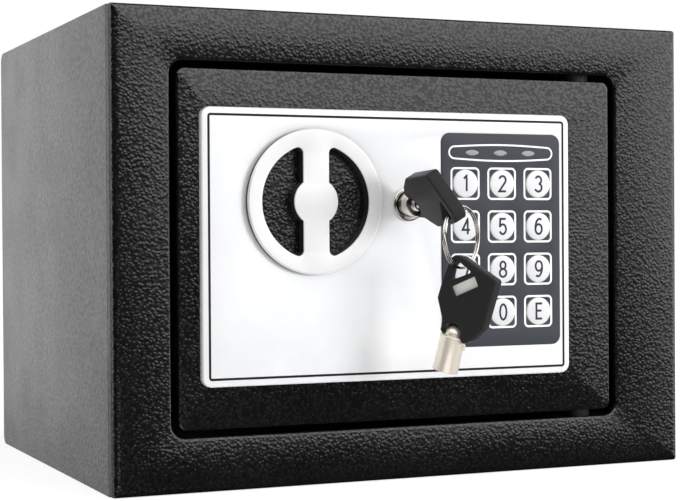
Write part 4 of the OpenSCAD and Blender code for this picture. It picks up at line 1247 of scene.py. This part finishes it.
@dataclass
class Inside:
    """Finishes for the CAD nodes that keep their shape, by the record's slots."""

    nodes: dict[str, bpy.types.Object]
    record: dict[str, Any]
    bevel: float = 0.3
    finishes = {
        "wall_paint": Paint.WALL, "front_paint": Paint.FRONT, "inner_paint": Paint.INNER, "felt": Paint.FELT,
        "steel": Paint.STEEL, "nylon": Paint.NYLON, "silver_plastic": Paint.FACE,
        "keypad_plastic": Paint.KEYPAD, "cap_silver": Paint.CAP, "lamp_lens": Paint.LAMP,
        "circuit_board": Paint.BOARD, "black_plastic": Paint.BLACK, "nickel": Paint.NICKEL,
        "knob_metal": Paint.KNOB, "coil_tape": Paint.TAPE, "cell_sleeve": Paint.SLEEVE,
        "lead_red": Paint.LEAD, "button_red": Paint.BUTTON}
    widths = {"cabinet_wrap": 0.35, "battery_contacts": 0.1, "wiring": 0.1, "plunger_spring": 0.1,
              "keypad_board": 0.1, "floor_mat": 0.6, "inner_cover": 0.25, "door_pan": 0.2}

    def dress(self) -> None:
        """Gives each shown node its finish, merges its triangles and eases its edges."""
        for entry in self.record["subparts"]:
            name, paint = entry["node"], self.finishes[entry["material_slot"]]
            node = self.nodes[name]
            node.data.materials.clear()
            node.data.materials.append(paint.material())
            if not node.hide_render:
                merge = node.modifiers.new("merge", "WELD")
                merge.merge_threshold = 1e-6
                ease = node.modifiers.new("ease", "BEVEL")
                ease.width = self.widths.get(name, self.bevel) * MM
                ease.segments = 2
                ease.limit_method = "ANGLE"
                ease.angle_limit = math.radians(35)
                LOG.info("%s keeps its CAD shape, in %s", name, paint.value.name)


# ---- studio ----


@dataclass
class Studio:
    """Camera, floor, sky and lamps."""

    camera_at: tuple[float, float, float] = (-269.45, -642.63, 89.14)
    yaw: float = -23.34
    pitch: float = -0.456
    roll: float = 0.366
    focal_px: float = 1672.95
    image_w: int = 680
    sensor: float = 36.0
    sky_rise: tuple[float, float, float, float] = (0.1, 0.285, 0.01, 1.6)
    sky_white: float = 1.38
    sky_soft: float = 0.28
    table_at: tuple[float, float, float] = (-0.35, -0.72, -0.6)

    def build(self) -> None:
        """Makes everything that isn't part of the object."""
        self.camera()
        self.floor()
        self.sky()
        self.lamps()
        bpy.context.scene.view_settings.view_transform = "Standard"

    def camera(self) -> None:
        """The photograph's camera: turned by yaw, then pitch, then roll about its own view."""
        data = bpy.data.cameras.new("camera")
        data.sensor_width = self.sensor
        data.lens = self.focal_px / self.image_w * self.sensor
        camera = bpy.data.objects.new("camera", data)
        bpy.context.scene.collection.objects.link(camera)
        turn = (Matrix.Rotation(math.radians(self.yaw), 4, "Z")
                @ Matrix.Rotation(math.radians(self.pitch), 4, "X")
                @ Matrix.Rotation(math.radians(self.roll), 4, "Y")
                @ Matrix.Rotation(math.pi / 2, 4, "X"))
        camera.matrix_world = Matrix.Translation(Vector(self.camera_at) * MM) @ turn
        bpy.context.scene.camera = camera

    def floor(self) -> None:
        """Pale floor to the horizon. Glossy rays miss it, so the sky alone sets the reflections."""
        side = 12.0
        corners = [(-side, -side, 0), (side, -side, 0), (side, side, 0), (-side, side, 0)]
        data = bpy.data.meshes.new("floor")
        data.from_pydata(corners, [], [(0, 1, 2, 3)])
        floor = bpy.data.objects.new("floor", data)
        bpy.context.scene.collection.objects.link(floor)
        paper = Plastic("floor_paper", (0.94, 0.94, 0.94), 0.9, specular=0.0, glow=0.7)
        floor.data.materials.append(paper.material())
        floor.visible_glossy = False

    def sky(self) -> None:
        """White to the camera and far to the left, with a light spot low in front like a table top.
        Ahead it is one wide light that starts above the horizon and lower to the right, so the
        front falls from grey to black."""
        world = bpy.data.worlds.new("studio")
        bpy.context.scene.world = world
        world.use_nodes = True
        light = world.node_tree.nodes["Background"]
        graph = Graph(world.node_tree, "Generated")
        right, back, up = (graph.along(axis) for axis in "XYZ")
        rise = graph.ramp(graph.math("ADD", up, graph.math("MULTIPLY", right, 0.35)), *self.sky_rise)
        ahead = graph.math("MULTIPLY", rise, graph.ramp(back, 0.0, 0.3, 1.0, 0.05))
        left = graph.math("MULTIPLY", graph.ramp(right, 0.1, -0.25), graph.ramp(back, -0.1, 0.3))
        wall = graph.ramp(up, -0.2, -0.07, self.sky_white * 0.4, self.sky_white)
        toward = graph.add("ShaderNodeVectorMath", {0: graph.place, 1: self.table_at},
                           operation="DOT_PRODUCT")
        table = graph.ramp(toward.outputs["Value"], 0.84, 0.95)
        lit = graph.mix(table, graph.mix(left, ahead, wall), 0.85)
        lit = graph.math("MULTIPLY", lit, graph.mix(graph.seen_by("Diffuse"), 1.0, self.sky_soft))
        lit = graph.mix(graph.seen_by("Camera"), lit, 1.0)
        light.inputs["Color"].default_value = (1, 1, 1, 1)
        world.node_tree.links.new(lit, light.inputs["Strength"])

    def lamps(self) -> None:
        """Soft square lamps, unseen in reflections: place in metres, side and power, all aimed
        at the middle of the front."""
        aim = Vector((0, -0.08, 0.09))
        for name, at, size, power in (("key_lamp", (0.95, -1.15, 0.2), 0.45, 13.5),
                                      ("top_lamp", (0.0, -0.5, 1.7), 1.6, 3.0),
                                      ("fill_lamp", (-0.7, -1.7, 0.7), 0.8, 1.0)):
            data = bpy.data.lights.new(name, "AREA")
            data.shape = "RECTANGLE"
            data.size = data.size_y = size
            data.energy = power
            lamp = bpy.data.objects.new(name, data)
            lamp.visible_glossy = False
            lamp.location = at
            lamp.rotation_mode = "QUATERNION"
            lamp.rotation_quaternion = (aim - Vector(at)).to_track_quat("-Z", "Y")
            bpy.context.scene.collection.objects.link(lamp)


def corners(box: tuple[Vector, Vector]) -> list[list[float]]:
    """A box's two corners as plain lists."""
    return [[float(c) for c in corner] for corner in box]


def main() -> None:
    """Builds the safe around the frame, part by part."""
    logging.basicConfig(level=logging.INFO, format="%(name)s: %(message)s", stream=sys.stdout)
    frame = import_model()
    in_lock = (Matrix.Translation((-4, -100.1, 101)) @ Matrix.Rotation(math.radians(-120), 4, "Y")
               @ Matrix.Rotation(math.pi, 4, "X"))
    hanging = (Matrix.Translation((1.4313, -116.128, 55.264))
               @ Matrix.Rotation(math.radians(-52), 4, "Z") @ Matrix.Rotation(math.pi / 2, 4, "X")
               @ Matrix.Rotation(math.radians(-15), 4, "Z"))
    parts = (Cabinet(), Door(), Knob(), Keypad(), Lock(),
             TubularKey("lock_key", in_lock, Paint.NICKEL),
             # The spare key's tube takes the warm, bright copy of the nickel as painted reflection
             TubularKey("spare_key", hanging, Paint.SATIN), KeyRing())
    for part in parts:
        part.build()
        LOG.info("%s done", type(part).__name__)
    Inside(frame["nodes"], frame["record"]).dress()
    Studio().build()


if __name__ == "__main__":
    main()
